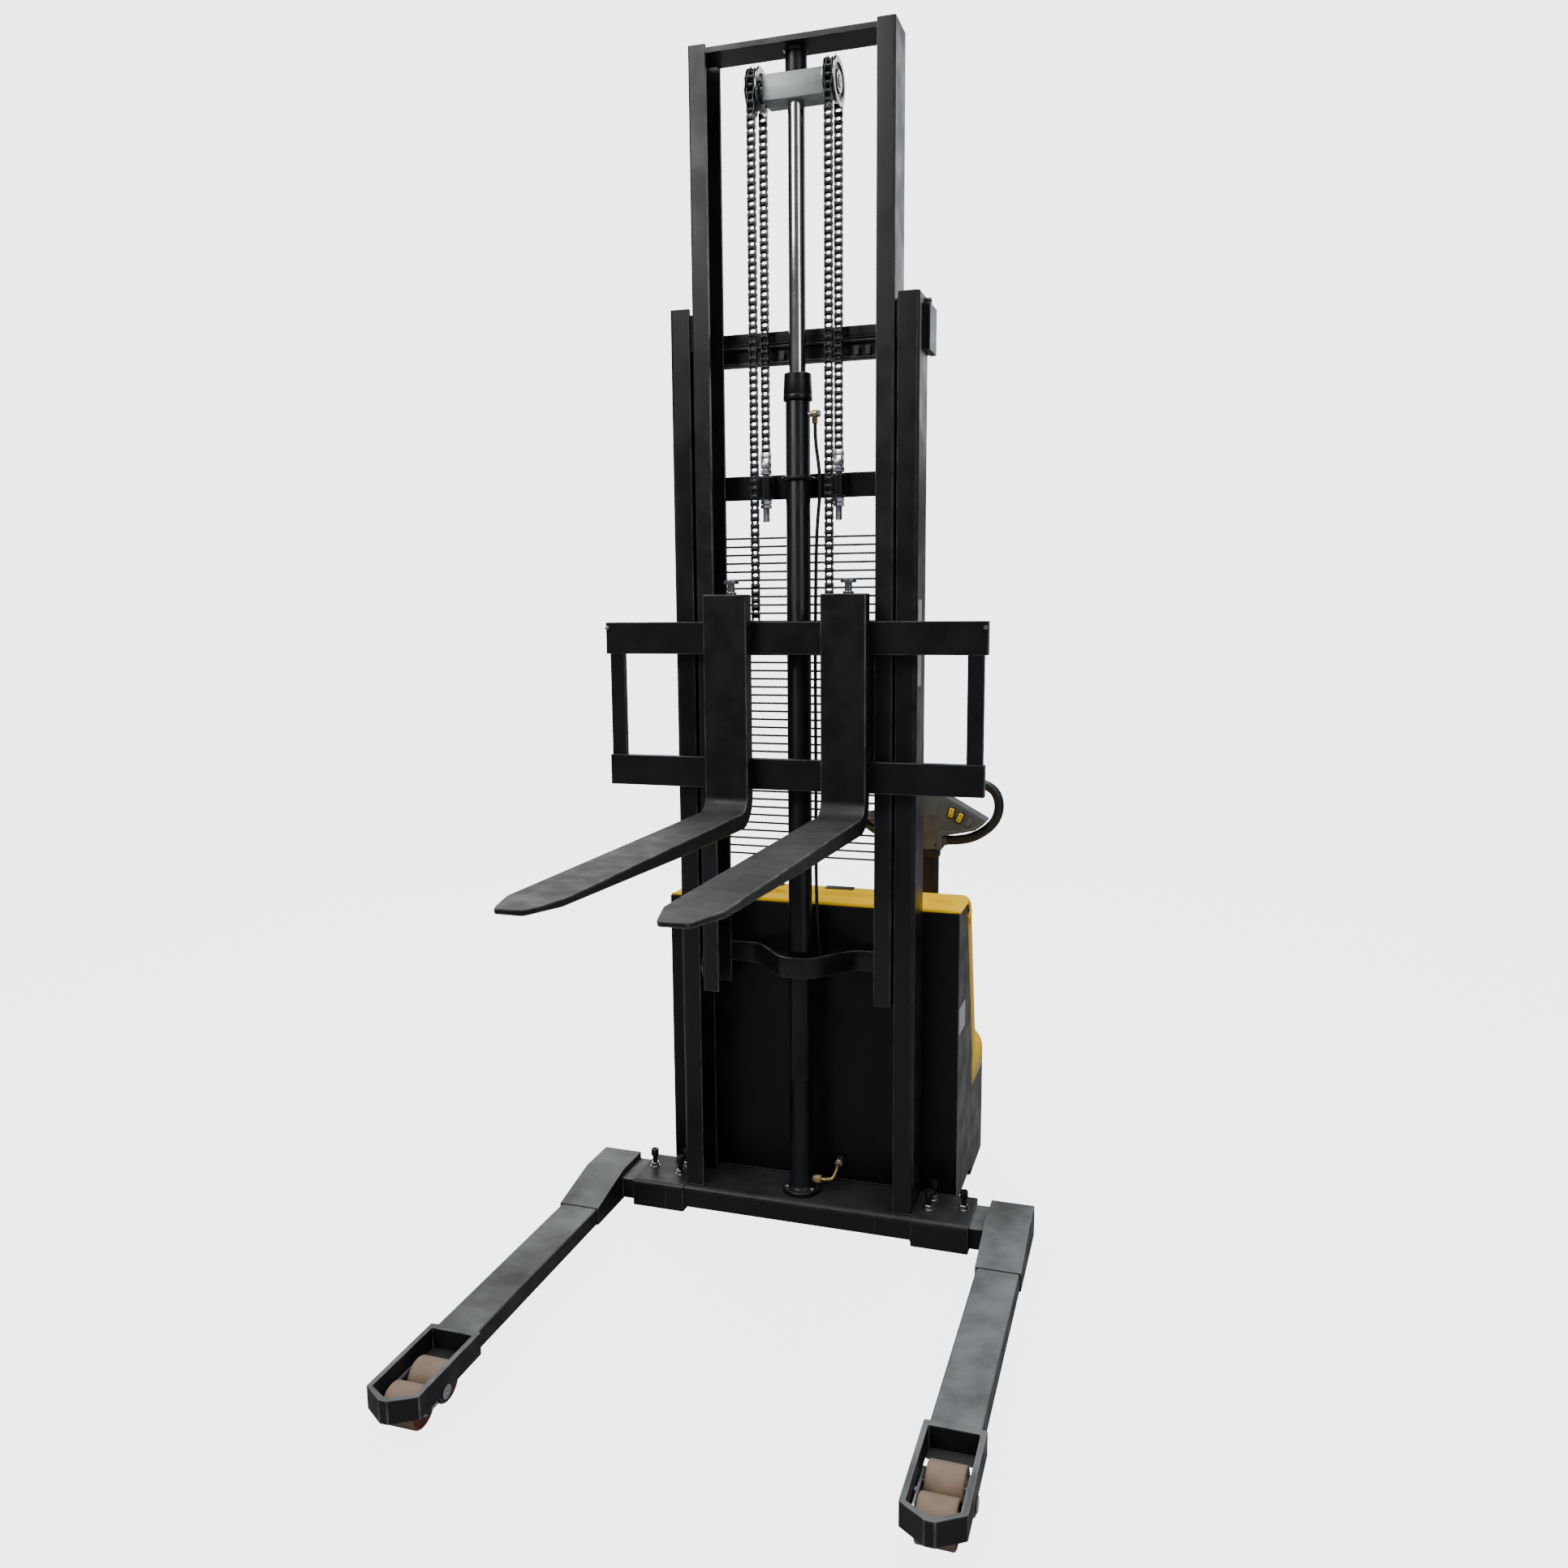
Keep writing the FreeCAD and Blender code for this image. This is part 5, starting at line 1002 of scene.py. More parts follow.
profile = [(top, radius - 0.002, 0), (top, 0.0315, 0), (top + 0.0015, 0.0320, 0), (top + 0.010, 0.0320, 0),
           (top + 0.0115, 0.0312, 0), (top + 0.013, 0.0316, 0), (top + 0.040, 0.0303, 0),
           (gland - 0.0020, 0.0297, 0), (gland - 0.0004, 0.0285, 0), (gland, 0.0265, 1), (gland, 0.0225, 1),
           (gland - 0.003, 0.0215, 1), (gland - 0.004, row["rod"] + 0.0004, 1),
           (gland - 0.008, row["rod"] + 0.0003, 0)]
addFine("cylinder_gland", [(turned("gland", profile, (0, row["y"], 0), "z", row["steps"]),
                            ["mastPaint", "controlBlack"])])

# crosshead: milled block, black post above it and pins that carry the pulleys
headLow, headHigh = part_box("crosshead")
crossSet = {"half": 0.066, "low": 2.537, "high": 2.590, "post": 0.023, "pin": 0.0123, "pinEnd": 0.0995}
row = crossSet
low, high, post, pinEnd, top = row["low"], row["high"], row["post"], row["pinEnd"], headHigh.z
postProfile = [(high - 0.002, 0, 0), (high - 0.002, post + 0.003, 0), (high + 0.002, post + 0.0025, 0),
               (high + 0.004, post, 0), (top - 0.004, post, 0), (top, post + 0.004, 0), (top, 0, 0)]
pinProfile = [(0.060, 0, 0), (0.060, row["pin"], 0), (pinEnd - 0.001, row["pin"], 0),
              (pinEnd, row["pin"] - 0.001, 0), (pinEnd, 0.004, 0), (pinEnd - 0.001, 0.0035, 0),
              (pinEnd - 0.001, 0, 0)]
parts = [(blockMesh("crossBlock", (-row["half"], headLow.y, low), (row["half"], headHigh.y, high), 0.0022, 3),
          "milledSteel"),
         (turned("crossPost", postProfile, (0, cylinderSet["y"], 0), "z", 48), "innerPaint")]
for side in sides.values():
    pin = turned("crossPin", pinProfile, (0, 0, 0), "x", 36)
    parts.append((mirrored(pin, side, (0, pulleyMid, pulleyTop)), "rollerSteel"))
addFine("crosshead", parts)

# guard screen: level wires on two upright bars
guardLow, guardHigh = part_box("guard_mesh")
guardSet = {"count": 40, "wire": 0.0025, "width": 0.520, "y": 0.304, "bar": (0.246, 0.262)}
row = guardSet
first, last = guardLow.z + row["wire"], guardHigh.z - row["wire"]


def makeWireTree():
    tree, given, out = startTree("levelWires", [
        ("Count", "Int", 40), ("Rise", "Float", 0.018), ("Radius", "Float", 0.0025), ("Width", "Float", 0.5),
        ("Material", "Material", None)])
    step = addNode(tree, "ShaderNodeCombineXYZ", {2: given["Rise"]})
    stack = addNode(tree, "GeometryNodeMeshLine", {"Count": given["Count"], "Offset": step.outputs[0]})
    wire = addNode(tree, "GeometryNodeMeshCylinder", {"Vertices": 10, "Radius": given["Radius"],
                                                      "Depth": given["Width"]})
    lying = addNode(tree, "GeometryNodeTransform",
                    {"Geometry": wire.outputs[0], "Rotation": (0, math.pi / 2, 0)})
    placed = addNode(tree, "GeometryNodeInstanceOnPoints",
                     {"Points": stack.outputs[0], "Instance": lying.outputs[0]})
    endTree(tree, placed.outputs[0], given["Material"], out)
    return tree


wires = runTree("guardWires", makeWireTree(), pathMesh("guardPath", [(0, 0, 0), (0, 0, 0.01)]),
                {"Count": row["count"], "Rise": (last - first) / (row["count"] - 1), "Radius": row["wire"],
                 "Width": row["width"], "Material": finishes["wirePaint"]})
wires.transform(Matrix.Translation((0, row["y"], first)))
parts = [(wires, "wirePaint")]
for side in sides.values():
    inner, outer = sorted((side * row["bar"][0], side * row["bar"][1]))
    parts.append((blockMesh("guardBar", (inner, guardLow.y, guardLow.z), (outer, guardHigh.y, guardHigh.z),
                            0.0008, 1), "wirePaint"))
addFine("guard_mesh", parts)
print("mast details ready")


# hood: one moulded shell drawn along its side line, with trays and dimples pressed into the top
hoodSet = {"half": 0.356, "corner": 0.020, "wall": 0.0035, "across": 200, "rim": 0.009, "down": 0.060,
           "cheekFrom": 0.440, "cheekOver": 0.045, "rounds": (0.0077, 0.030, 0.020), "step": 0.005}
hoodLine = [(0.3135, 0.7915), (0.3135, 0.8), (0.472, 0.8), (0.498, 0.786), (0.600, 0.390)]
# presses: middle across, middle along the line from the front edge, half sizes, corner, depth
hoodPresses = [
    {"x": 0.060, "along": 0.074, "half": (0.110, 0.036), "corner": 0.018, "depth": 0.0088},
    {"x": 0.285, "along": 0.074, "half": (0.040, 0.022), "corner": 0.0215, "depth": 0.0088},
    {"x": -0.105, "along": 0.072, "half": (0.032, 0.024), "corner": 0.023, "depth": 0.0088},
    {"x": -0.270, "along": 0.084, "half": (0.052, 0.040), "corner": 0.018, "depth": 0.0088},
    {"x": 0.0, "along": 0.395, "half": (0.250, 0.110), "corner": 0.035, "depth": 0.0080},
]


def roundedLine(points, radii, step):
    # straight runs with an arc at each corner, sampled evenly enough to press shapes into
    line = [Vector(points[0])]
    for before, corner, after, radius in zip(points, points[1:], points[2:], radii):
        before, corner, after = Vector(before), Vector(corner), Vector(after)
        inward, outward = (before - corner).normalized(), (after - corner).normalized()
        half = inward.angle(outward) / 2
        reach = radius / math.tan(half)
        centre = corner + (inward + outward).normalized() * radius / math.sin(half)
        start, end = corner + inward * reach, corner + outward * reach
        steps = max(3, int((math.pi - 2 * half) * radius / step) + 2)
        first, last = start - centre, end - centre
        turn = first.angle_signed(last)
        line += [centre + Matrix.Rotation(-turn * i / steps, 2) @ first for i in range(steps + 1)]
    line.append(Vector(points[-1]))
    dense = [line[0]]
    for a, b in zip(line, line[1:]):
        count = max(1, int((b - a).length / step))
        dense += [a + (b - a) * i / count for i in range(1, count + 1)]
    return dense


def pressDepth(x, along, presses, soft=0.0032):
    depth = 0.0
    for press in presses:
        qx = abs(x - press["x"]) - press["half"][0] + press["corner"]
        qy = abs(along - press["along"]) - press["half"][1] + press["corner"]
        outside = math.hypot(max(qx, 0), max(qy, 0)) + min(max(qx, qy), 0) - press["corner"]
        share = min(1.0, max(0.0, 0.5 - outside / soft))
        depth = max(depth, press["depth"] * share * share * (3 - 2 * share))
    return depth


def mouldedShell(name, line, row, presses, sideDepth):
    shape = bmesh.new()
    normals = []
    for i, spot in enumerate(line):
        way = line[min(i + 1, len(line) - 1)] - line[max(i - 1, 0)]
        normals.append(Vector((-way.y, way.x)).normalized())
    lengths = [0.0]
    for a, b in zip(line, line[1:]):
        lengths.append(lengths[-1] + (b - a).length)
    corner, half = row["corner"], row["half"]
    across = [-1 + 2 * i / row["across"] for i in range(row["across"] + 1)]
    rows = []
    for spot, normal, along in zip(line, normals, lengths):
        deep = sideDepth(spot)
        ends = []
        for i in range(1, 7):
            angle = math.radians(15 * i)
            ends.append((half - corner + corner * math.sin(angle), corner * (1 - math.cos(angle))))
        if deep > corner:
            ends += [(half, corner + (deep - corner) * i / 4) for i in range(1, 5)]
        else:
            ends += [ends[-1]] * 4
        stations = [(-x, d) for x, d in reversed(ends)]
        stations += [(a * (half - corner), pressDepth(a * (half - corner), along, presses)) for a in across]
        stations += ends
        sunk = [(x, min(d, max(deep, row["rim"]))) for x, d in stations]
        rows.append([shape.verts.new((x, spot.x - normal.x * d, spot.y - normal.y * d)) for x, d in sunk])
    for near, far in zip(rows, rows[1:]):
        joinRings(shape, near, far, closed=False)
    bmesh.ops.remove_doubles(shape, verts=shape.verts, dist=0.0001)
    bmesh.ops.recalc_face_normals(shape, faces=shape.faces)
    inside = Vector((0, 0.40, 0.5))
    outward = sum(f.normal.dot(f.calc_center_median() - inside) for f in shape.faces)
    if outward < 0:
        bmesh.ops.reverse_faces(shape, faces=shape.faces)
    return storeMesh(shape, name, 50)


def addShell(node, mesh, wall):
    shell = addObject(node + "_fine", mesh, "coverYellow", bodyOf(node), (node,))
    thick = shell.modifiers.new("wall", "SOLIDIFY")
    thick.thickness = wall
    thick.offset = -1


def hoodSide(spot):
    # a narrow edge along the top grows into the deep cheek beside the battery box's sloping edge
    grown = min(1.0, max(0.0, (spot.x - hoodSet["cheekFrom"]) / hoodSet["cheekOver"]))
    return hoodSet["rim"] + hoodSet["down"] * grown * grown * (3 - 2 * grown)


line = roundedLine(hoodLine, hoodSet["rounds"], hoodSet["step"])
hoodMesh = mouldedShell("hoodShell", line, hoodSet, hoodPresses, hoodSide)
addShell("top_cover", hoodMesh, hoodSet["wall"])
print("hood ready")

# control panel on the hood: key plate, state gauge without lettering, stop button
controlSet = {"y": 0.456, "top": 0.800, "key": -0.125, "stop": 0.200, "gauge": 0.035}
row = controlSet
z, keySpot, stopSpot = row["top"], (row["key"], row["y"], 0), (row["stop"], row["y"], 0)


def lifted(profile):
    # rows of height above the hood and radius
    return [(z + high, radius, 0) for high, radius in profile]


keyBarrel = lifted([(-0.012, 0), (-0.012, 0.0088), (0.004, 0.0088), (0.004, 0.0145), (0.006, 0.015),
                    (0.008, 0.0135), (0.008, 0.0075), (0.0072, 0)])
keyBlade = prismMesh("keyBlade", roundRect((row["key"], z + 0.0105), (0.0105, 0.0034), 0.003), row["y"] - 0.0013,
                     row["y"] + 0.0013, "y", 0.0004, 1)
addFine("key_switch", [(turned("keyBarrel", keyBarrel, keySpot, "z", 36), "zincPlate"), (keyBlade, "rollerSteel")])
stopStem = lifted([(-0.020, 0), (-0.020, 0.0088), (0.008, 0.0088), (0.008, 0)])
stopHead = lifted([(0.008, 0), (0.008, 0.0125), (0.016, 0.0125), (0.018, 0.0185), (0.0195, 0.0200),
                   (0.0245, 0.0200), (0.0275, 0.0180), (0.0290, 0.0130), (0.0298, 0.0060), (0.030, 0)])
addFine("emergency_stop", [(turned("stopStem", stopStem, stopSpot, "z", 32), "controlBlack"),
                           (turned("stopHead", stopHead, stopSpot, "z", 40), "stopRed")])
stopRing = lifted([(-0.0005, 0.0095), (-0.0005, 0.0225), (0.0020, 0.0225), (0.0032, 0.0210), (0.0032, 0.0098)])
keyRing = lifted([(-0.0005, 0.0095), (-0.0005, 0.0175), (0.0014, 0.0175), (0.0022, 0.0165), (0.0022, 0.0098)])
gaugeSpot = (row["gauge"], row["y"])
addPiece("hoodControls", [
    (turned("stopRing", stopRing, stopSpot, "z", 40), "controlBlack"),
    (turned("keyRing", keyRing, keySpot, "z", 36), "controlBlack"),
    (prismMesh("gaugeFrame", roundRect(gaugeSpot, (0.036, 0.014), 0.004), z - 0.001, z + 0.0025, "z", 0.0008),
     "controlBlack"),
    (prismMesh("gaugeGlass", roundRect(gaugeSpot, (0.030, 0.0095), 0.002), z + 0.0020, z + 0.0031, "z", 0.0003, 1),
     "gaugeGlass")], "frame")

# rear cover: domed lid over the drive, open where the tiller stands, with a dark collar
rearSet = {"half": 0.356, "front": 0.532, "back": 0.826, "corner": 0.130, "low": 0.299, "drop": 0.335, "top": 0.388,
           "inset": 0.060, "hole": 0.084, "x": 0.205, "y": 0.686, "lip": 0.012, "wall": 0.0035, "steps": 64}


def rearOutline(inset, height):
    row = rearSet
    radius = row["corner"] - inset
    run = row["back"] - row["corner"] - row["front"]
    spots = [(row["half"] - inset, row["front"] + run * i / 6) for i in range(6)]
    spots += [(row["half"] - row["corner"] + radius * math.cos(math.radians(a)),
               row["back"] - row["corner"] + radius * math.sin(math.radians(a))) for a in range(0, 91, 9)]
    middle = [((row["half"] - row["corner"]) * i / 5, row["back"] - inset) for i in range(4, -1, -1)]
    right = spots + middle
    return [(x, y, height) for x, y in right] + [(-x, y, height) for x, y in reversed(right[:-1])]


shape = bmesh.new()
levels = [(0, rearSet["low"]), (0, rearSet["drop"])]
for step in range(1, 10):
    angle = math.radians(10 * step)
    levels.append((rearSet["inset"] * (1 - math.cos(angle)),
                   rearSet["drop"] + (rearSet["top"] - rearSet["drop"]) * math.sin(angle)))
rings = [[shape.verts.new(spot) for spot in rearOutline(inset, height)] for inset, height in levels]
for near, far in zip(rings, rings[1:]):
    joinRings(shape, near, far, closed=False)
steps = rearSet["steps"]
hole = [shape.verts.new((rearSet["x"] + rearSet["hole"] * math.cos(angle),
                         rearSet["y"] + rearSet["hole"] * math.sin(angle), rearSet["top"]))
        for angle in (2 * math.pi * i / steps for i in range(steps))]
edges = [shape.edges.new((hole[i], hole[(i + 1) % steps])) for i in range(steps)]
last = rings[-1]
edges += [shape.edges.get((last[i], last[i + 1])) for i in range(len(last) - 1)]
edges.append(shape.edges.new((last[0], last[-1])))
bmesh.ops.triangle_fill(shape, use_beauty=True, edges=edges, normal=(0, 0, 1))
lip = bmesh.ops.extrude_edge_only(shape, edges=edges[:steps])
for vert in [v for v in lip["geom"] if isinstance(v, bmesh.types.BMVert)]:
    vert.co.z -= rearSet["lip"]
bmesh.ops.recalc_face_normals(shape, faces=shape.faces)
if sum(face.normal.z * face.calc_area() for face in shape.faces) < 0:
    bmesh.ops.reverse_faces(shape, faces=shape.faces)
addShell("rear_cover", storeMesh(shape, "rearLid", 50), rearSet["wall"])
ring = [(0.3835, 0.0835, 0), (0.3835, 0.0900, 0), (0.3900, 0.0930, 0), (0.3925, 0.0905, 0), (0.3925, 0.0850, 0),
        (0.3900, 0.0820, 0), (0.3835, 0.0820, 0)]
collar = turned("tillerCollar", ring, (rearSet["x"], rearSet["y"], 0), "z", 56)
addPiece("tillerCollar", [(collar, "controlBlack")], "frame")

# louvres in the hood's back panel: black blades with a raised lip, the panel itself is not cut; their black is
# painted shade for the slots
louvreSet = {"count": 9, "pitch": 0.019, "half": 0.105, "low": 0.455, "sunk": 0.0072, "screwX": 0.315,
             "screwZ": (0.43, 0.58, 0.73), "out": Vector((0.968, 0.249))}
row = louvreSet
slopeTop, slopeFoot = Vector(hoodLine[-2]), Vector(hoodLine[-1])
slopeRun = slopeFoot - slopeTop


def onSlope(x, height, lift):
    # a point at this height on the hood's back panel, lifted off its face
    share = (slopeTop.y - height) / (slopeTop.y - slopeFoot.y)
    spot = slopeTop + slopeRun * share + row["out"] * lift
    return x, spot.x, spot.y


points = [onSlope(0, row["low"] + i * row["pitch"], -row["sunk"]) for i in range(row["count"])]
blade = prismMesh("louvre", [(-0.0050, -0.0006), (0.0046, -0.0006), (0.0050, 0.0030), (0.0032, 0.0056),
                             (-0.0010, 0.0034)], -row["half"], row["half"], "x", 0.0005, 1)
blade.transform(Matrix.Rotation(math.pi / 2, 4, "X"))
lean = -math.atan2(slopeRun.x, -slopeRun.y) - math.pi / 2
addPiece("hoodLouvres", [repeatMesh("louvres", blade, points, "controlBlack", (lean, 0, 0))], "frame")
screwSpots = [onSlope(x, height, 0.0) for x in (-row["screwX"], row["screwX"]) for height in row["screwZ"]]
screwProfile = [(-0.004, 0, 0), (-0.004, 0.003, 0), (0, 0.003, 0), (0.0002, 0.0068, 0), (0.0016, 0.0062, 0),
                (0.0028, 0.0040, 0), (0.0028, 0.0018, 0), (0.0012, 0.0014, 0), (0.0012, 0, 0)]
coverScrew = turned("coverScrew", screwProfile, (0, 0, 0), "z", 18)
addPiece("hoodScrews", [repeatMesh("hoodScrews", coverScrew, screwSpots, "blackOxide",
                                   (-math.atan2(*row["out"]), 0, 0))], "frame")
print("covers ready")


# tiller head: moulded wing outline with a soft edge and button surrounds
tillerSet = {"x": 0.205, "y": 0.686, "front": 0.661, "back": 0.711, "edge": 0.0055, "ear": 0.040,
             "earHalf": 0.0028, "throttleY": 0.726, "throttleZ": 1.000, "screwX": 0.030, "screwZ": (0.880, 1.048)}
headLine = [(0.044, 0.866), (0.044, 0.903), (0.128, 0.921), (0.146, 0.934), (0.160, 0.949), (0.049, 1.011),
            (0.044, 1.020), (0.044, 1.062)]
row = tillerSet
outline = [(row["x"] + x, z) for x, z in headLine] + [(row["x"] - x, z) for x, z in reversed(headLine)]
headMesh = prismMesh("headShell", outline, row["front"] + 0.003, row["back"], "y", row["edge"], 4)
headParts = [(headMesh, "headPlastic")]
buttonPlaces = ((0.068, 0.966, 12), (0.090, 0.954, 25), (0.1125, 0.9425, 38))


def tilted(name, x, z, degrees, half, corner, front, back, width, segments):
    # a rounded plate on the wing's face, leaning with the row of buttons
    mesh = prismMesh(name, roundRect((0, 0), half, corner), front, back, "y", width, segments)
    mesh.transform(Matrix.Translation((x, 0, z)) @ Matrix.Rotation(math.radians(degrees), 4, "Y"))
    return mesh


# raised lower lip that follows the wing's edge
lipLine = [(0.044, 0.8665), (0.044, 0.9035), (0.100, 0.9150), (0.128, 0.9215), (0.146, 0.9345),
           (0.1590, 0.9480), (0.1535, 0.9510), (0.141, 0.9405), (0.124, 0.9290), (0.098, 0.9235),
           (0.050, 0.9165), (0.030, 0.9140), (0.030, 0.8665)]
front = row["front"]
for side in sides.values():
    points = [(row["x"] + side * x, z) for x, z in lipLine]
    headParts.append((prismMesh("wingLip", points, front + 0.0008, front + 0.006, "y", 0.0018, 3), "headPlastic"))
    # wells for the two buttons, blank caps in the places without one
    for number, (x, z, lean) in enumerate(buttonPlaces):
        spot = (row["x"] + side * x, z, side * lean)
        if side > 0 and number < 2:
            headParts.append((tilted("buttonWell", *spot, (0.0098, 0.0158), 0.0042, front + 0.0012, front + 0.005,
                                     0.0012, 3), "controlBlack"))
        else:
            # painted shade: the black ring round each blank cap stands for the shade in the groove around it
            headParts.append((tilted("blankGroove", *spot, (0.0092, 0.0150), 0.0034, front + 0.0024,
                                     front + 0.005, 0, 1), "controlBlack"))
            headParts.append((tilted("blankCap", *spot, (0.0082, 0.0140), 0.0028, front + 0.0018, front + 0.005,
                                     0.0010, 2), "headPlastic"))
headParts.append((prismMesh("middleCover", roundRect((row["x"], 1.000), (0.036, 0.046), 0.010), front + 0.0008,
                            front + 0.006, "y", 0.0020, 3), "headPlastic"))
for ear in (row["x"] - row["ear"], row["x"] + row["ear"]):
    headParts.append((prismMesh("throttleEar", roundRect((0.722, row["throttleZ"]), (0.013, 0.0088), 0.006),
                                ear - row["earHalf"], ear + row["earHalf"], "x", 0.0008, 2), "headPlastic"))
for x in (row["x"] - row["screwX"], row["x"] + row["screwX"]):
    for z in row["screwZ"]:
        head = socketScrew("headScrew", 0.0042, 0.0022, 0.0022, 0.002, 0.003)
        head.transform(Matrix.Translation((x, front + 0.0034, z)) @ Matrix.Rotation(math.pi / 2, 4, "X"))
        headParts.append((head, "blackOxide"))
addFine("tiller_head", headParts)

for word, (x, z, lean) in zip(("lift_button", "lower_button"), buttonPlaces):
    keyLow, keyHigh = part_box(word)
    marks = [(tilted("cap", row["x"] + x, z, lean, (0.0064, 0.0116), 0.0022, keyLow.y, keyHigh.y, 0.0014, 3),
              "buttonYellow")]
    for rise in (-0.0062, 0.0062):
        across, up = rise * math.sin(math.radians(lean)), rise * math.cos(math.radians(lean))
        marks.append((tilted("dot", row["x"] + x + across, z + up, lean, (0.0015, 0.0015), 0.0013,
                             keyLow.y - 0.0002, keyLow.y + 0.001, 0, 1), "controlBlack"))
    addFine(word, marks)

# grip loops: smooth bent tube with a moulded sleeve end at each root
loopLine = [(0.044, 0.890), (0.082, 0.890), (0.132, 0.904), (0.177, 0.941), (0.189, 0.987), (0.173, 1.029),
            (0.124, 1.045), (0.044, 1.045)]
loopSet = {"radius": 0.0123, "steps": 24, "rootX": 0.048}
rootProfile = [(-0.004, 0.0130, 0), (-0.004, 0.0148, 0), (0.004, 0.0148, 0), (0.006, 0.0126, 0)]
loopParts = []
for side in sides.values():
    points = [(row["x"] + side * x, row["y"], z) for x, z in loopLine]
    loopParts.append((tubeMesh("gripLoop", points, loopSet["radius"], loopSet["steps"]), "gripRubber"))
    for x, z in (loopLine[0], loopLine[-1]):
        sleeve = turned("gripRoot", rootProfile, (0, 0, 0), "x", 28)
        spot = (row["x"] + side * loopSet["rootX"], row["y"], z)
        loopParts.append((mirrored(sleeve, side, spot), "headPlastic"))
addFine("tiller_handle", loopParts)

# butterfly throttle: ribbed barrel and two paddles
throttleSet = {"half": 0.036, "ribs": 24, "low": 0.0122, "high": 0.0130, "shaftHalf": 0.042, "shaft": 0.0049,
               "paddleX": 0.021, "paddleY": 0.742, "paddleThick": 0.004}
part = throttleSet
ribPitch = 2 * part["half"] / part["ribs"]
barrelProfile = [(-part["half"], 0, 0)]
for i in range(part["ribs"]):
    x = -part["half"] + ribPitch * i
    barrelProfile += [(x, part["low"], 0), (x + 0.4 * ribPitch, part["high"], 0),
                      (x + 0.8 * ribPitch, part["low"], 0)]
barrelProfile += [(part["half"], part["low"], 0), (part["half"], 0, 0)]
shaftProfile = [(-part["shaftHalf"], 0, 0), (-part["shaftHalf"], part["shaft"], 0),
                (part["shaftHalf"], part["shaft"], 0), (part["shaftHalf"], 0, 0)]
spot = (row["x"], row["throttleY"], row["throttleZ"])
throttleParts = [(turned("throttleBarrel", barrelProfile, spot, "x", 36), "controlBlack"),
                 (turned("throttleShaft", shaftProfile, spot, "x", 20), "rollerSteel")]
for middle in (row["x"] - part["paddleX"], row["x"] + part["paddleX"]):
    throttleParts.append((prismMesh("paddle", roundRect((middle, part["paddleY"]), (0.013, 0.014), 0.005),
                                    row["throttleZ"] - part["paddleThick"], row["throttleZ"] + part["paddleThick"],
                                    "z", 0.0022, 3), "controlBlack"))
addFine("throttle", throttleParts)
addFine("belly_switch", [(blockMesh("belly", *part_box("belly_switch"), 0.0065, 4), "stopRed")])

# tiller arm: rounded bar over a pivot barrel, with a foot and a socket
armSet = {"low": 0.444, "high": 0.866, "socketLow": 0.846, "pivotZ": 0.430, "bore": 0.0103, "pivot": 0.0178,
          "pivotHalf": 0.0313, "footHalf": 0.0312}
arm = armSet
pivotProfile = [(-arm["pivotHalf"], arm["bore"], 0), (-arm["pivotHalf"], 0.0165, 0), (-0.030, arm["pivot"], 0),
                (0.030, arm["pivot"], 0), (arm["pivotHalf"], 0.0165, 0), (arm["pivotHalf"], arm["bore"], 0)]
centre = (row["x"], row["y"])
addFine("tiller_arm", [
    (prismMesh("armBar", roundRect(centre, (0.032, 0.018), 0.008), arm["low"], arm["high"], "z", 0.0015),
     "armPaint"),
    (turned("armPivot", pivotProfile, (*centre, arm["pivotZ"]), "x", 40), "armPaint"),
    (prismMesh("armFoot", [(0.669, 0.430), (0.703, 0.430), (0.7035, 0.450), (0.6685, 0.450)],
               row["x"] - arm["footHalf"], row["x"] + arm["footHalf"], "x", 0.001), "armPaint"),
    (prismMesh("armSocket", roundRect(centre, (0.0355, 0.0215), 0.009), arm["socketLow"], arm["high"], "z", 0.002),
     "controlBlack")])
print("tiller ready")


# low tie: one bent strip that bows round the barrel
bandSet = {"low": 0.648, "high": 0.696, "foot": 0.217, "rear": 0.286, "front": 0.184, "bow": 0.014,
           "turn": 0.132, "thick": 0.008, "steps": 72}
row = bandSet


def bandLine(x):
    share = min(1.0, max(0.0, (abs(x) - row["bow"]) / (row["turn"] - row["bow"])))
    return row["front"] + (row["rear"] - row["front"]) * share * share * (3 - 2 * share)


steps = row["steps"]
middleLine = [Vector((x, bandLine(x))) for x in (row["foot"] * (2 * i / steps - 1) for i in range(steps + 1))]
frontSide, rearSide = [], []
for i, spot in enumerate(middleLine):
    way = (middleLine[min(i + 1, steps)] - middleLine[max(i - 1, 0)]).normalized()
    offset = Vector((-way.y, way.x)) * row["thick"] / 2
    rearSide.append(tuple(spot + offset))
    frontSide.append(tuple(spot - offset))
band = prismMesh("band", frontSide + rearSide[::-1], row["low"], row["high"], "z", 0.0014)
addFine("inner_mast_band", [(band, "innerPaint")])

# hydraulic fittings: union nut, bent pipe and bulkhead nut at the foot, banjo at the gland
fittingSet = {"y": 0.240, "z": 0.143, "x": 0.077, "wall": 0.3128, "portZ": 0.165, "pipe": 0.0048,
              "banjoX": 0.041, "banjoY": 0.228, "banjoZ": 1.8995}
row = fittingSet
y, z = row["y"], row["z"]
pipeLine = [(0.046, y, z), (0.060, y, z), (0.074, y + 0.006, z + 0.002), (row["x"], y + 0.024, z + 0.012),
            (row["x"], y + 0.040, row["portZ"]), (row["x"], row["wall"], row["portZ"])]
parts = [(tubeMesh("inletPipe", pipeLine, row["pipe"], 16), "brassFitting")]
foot, port, banjo = (0, y, z), (row["x"], 0, row["portZ"]), (0, row["banjoY"], row["banjoZ"])
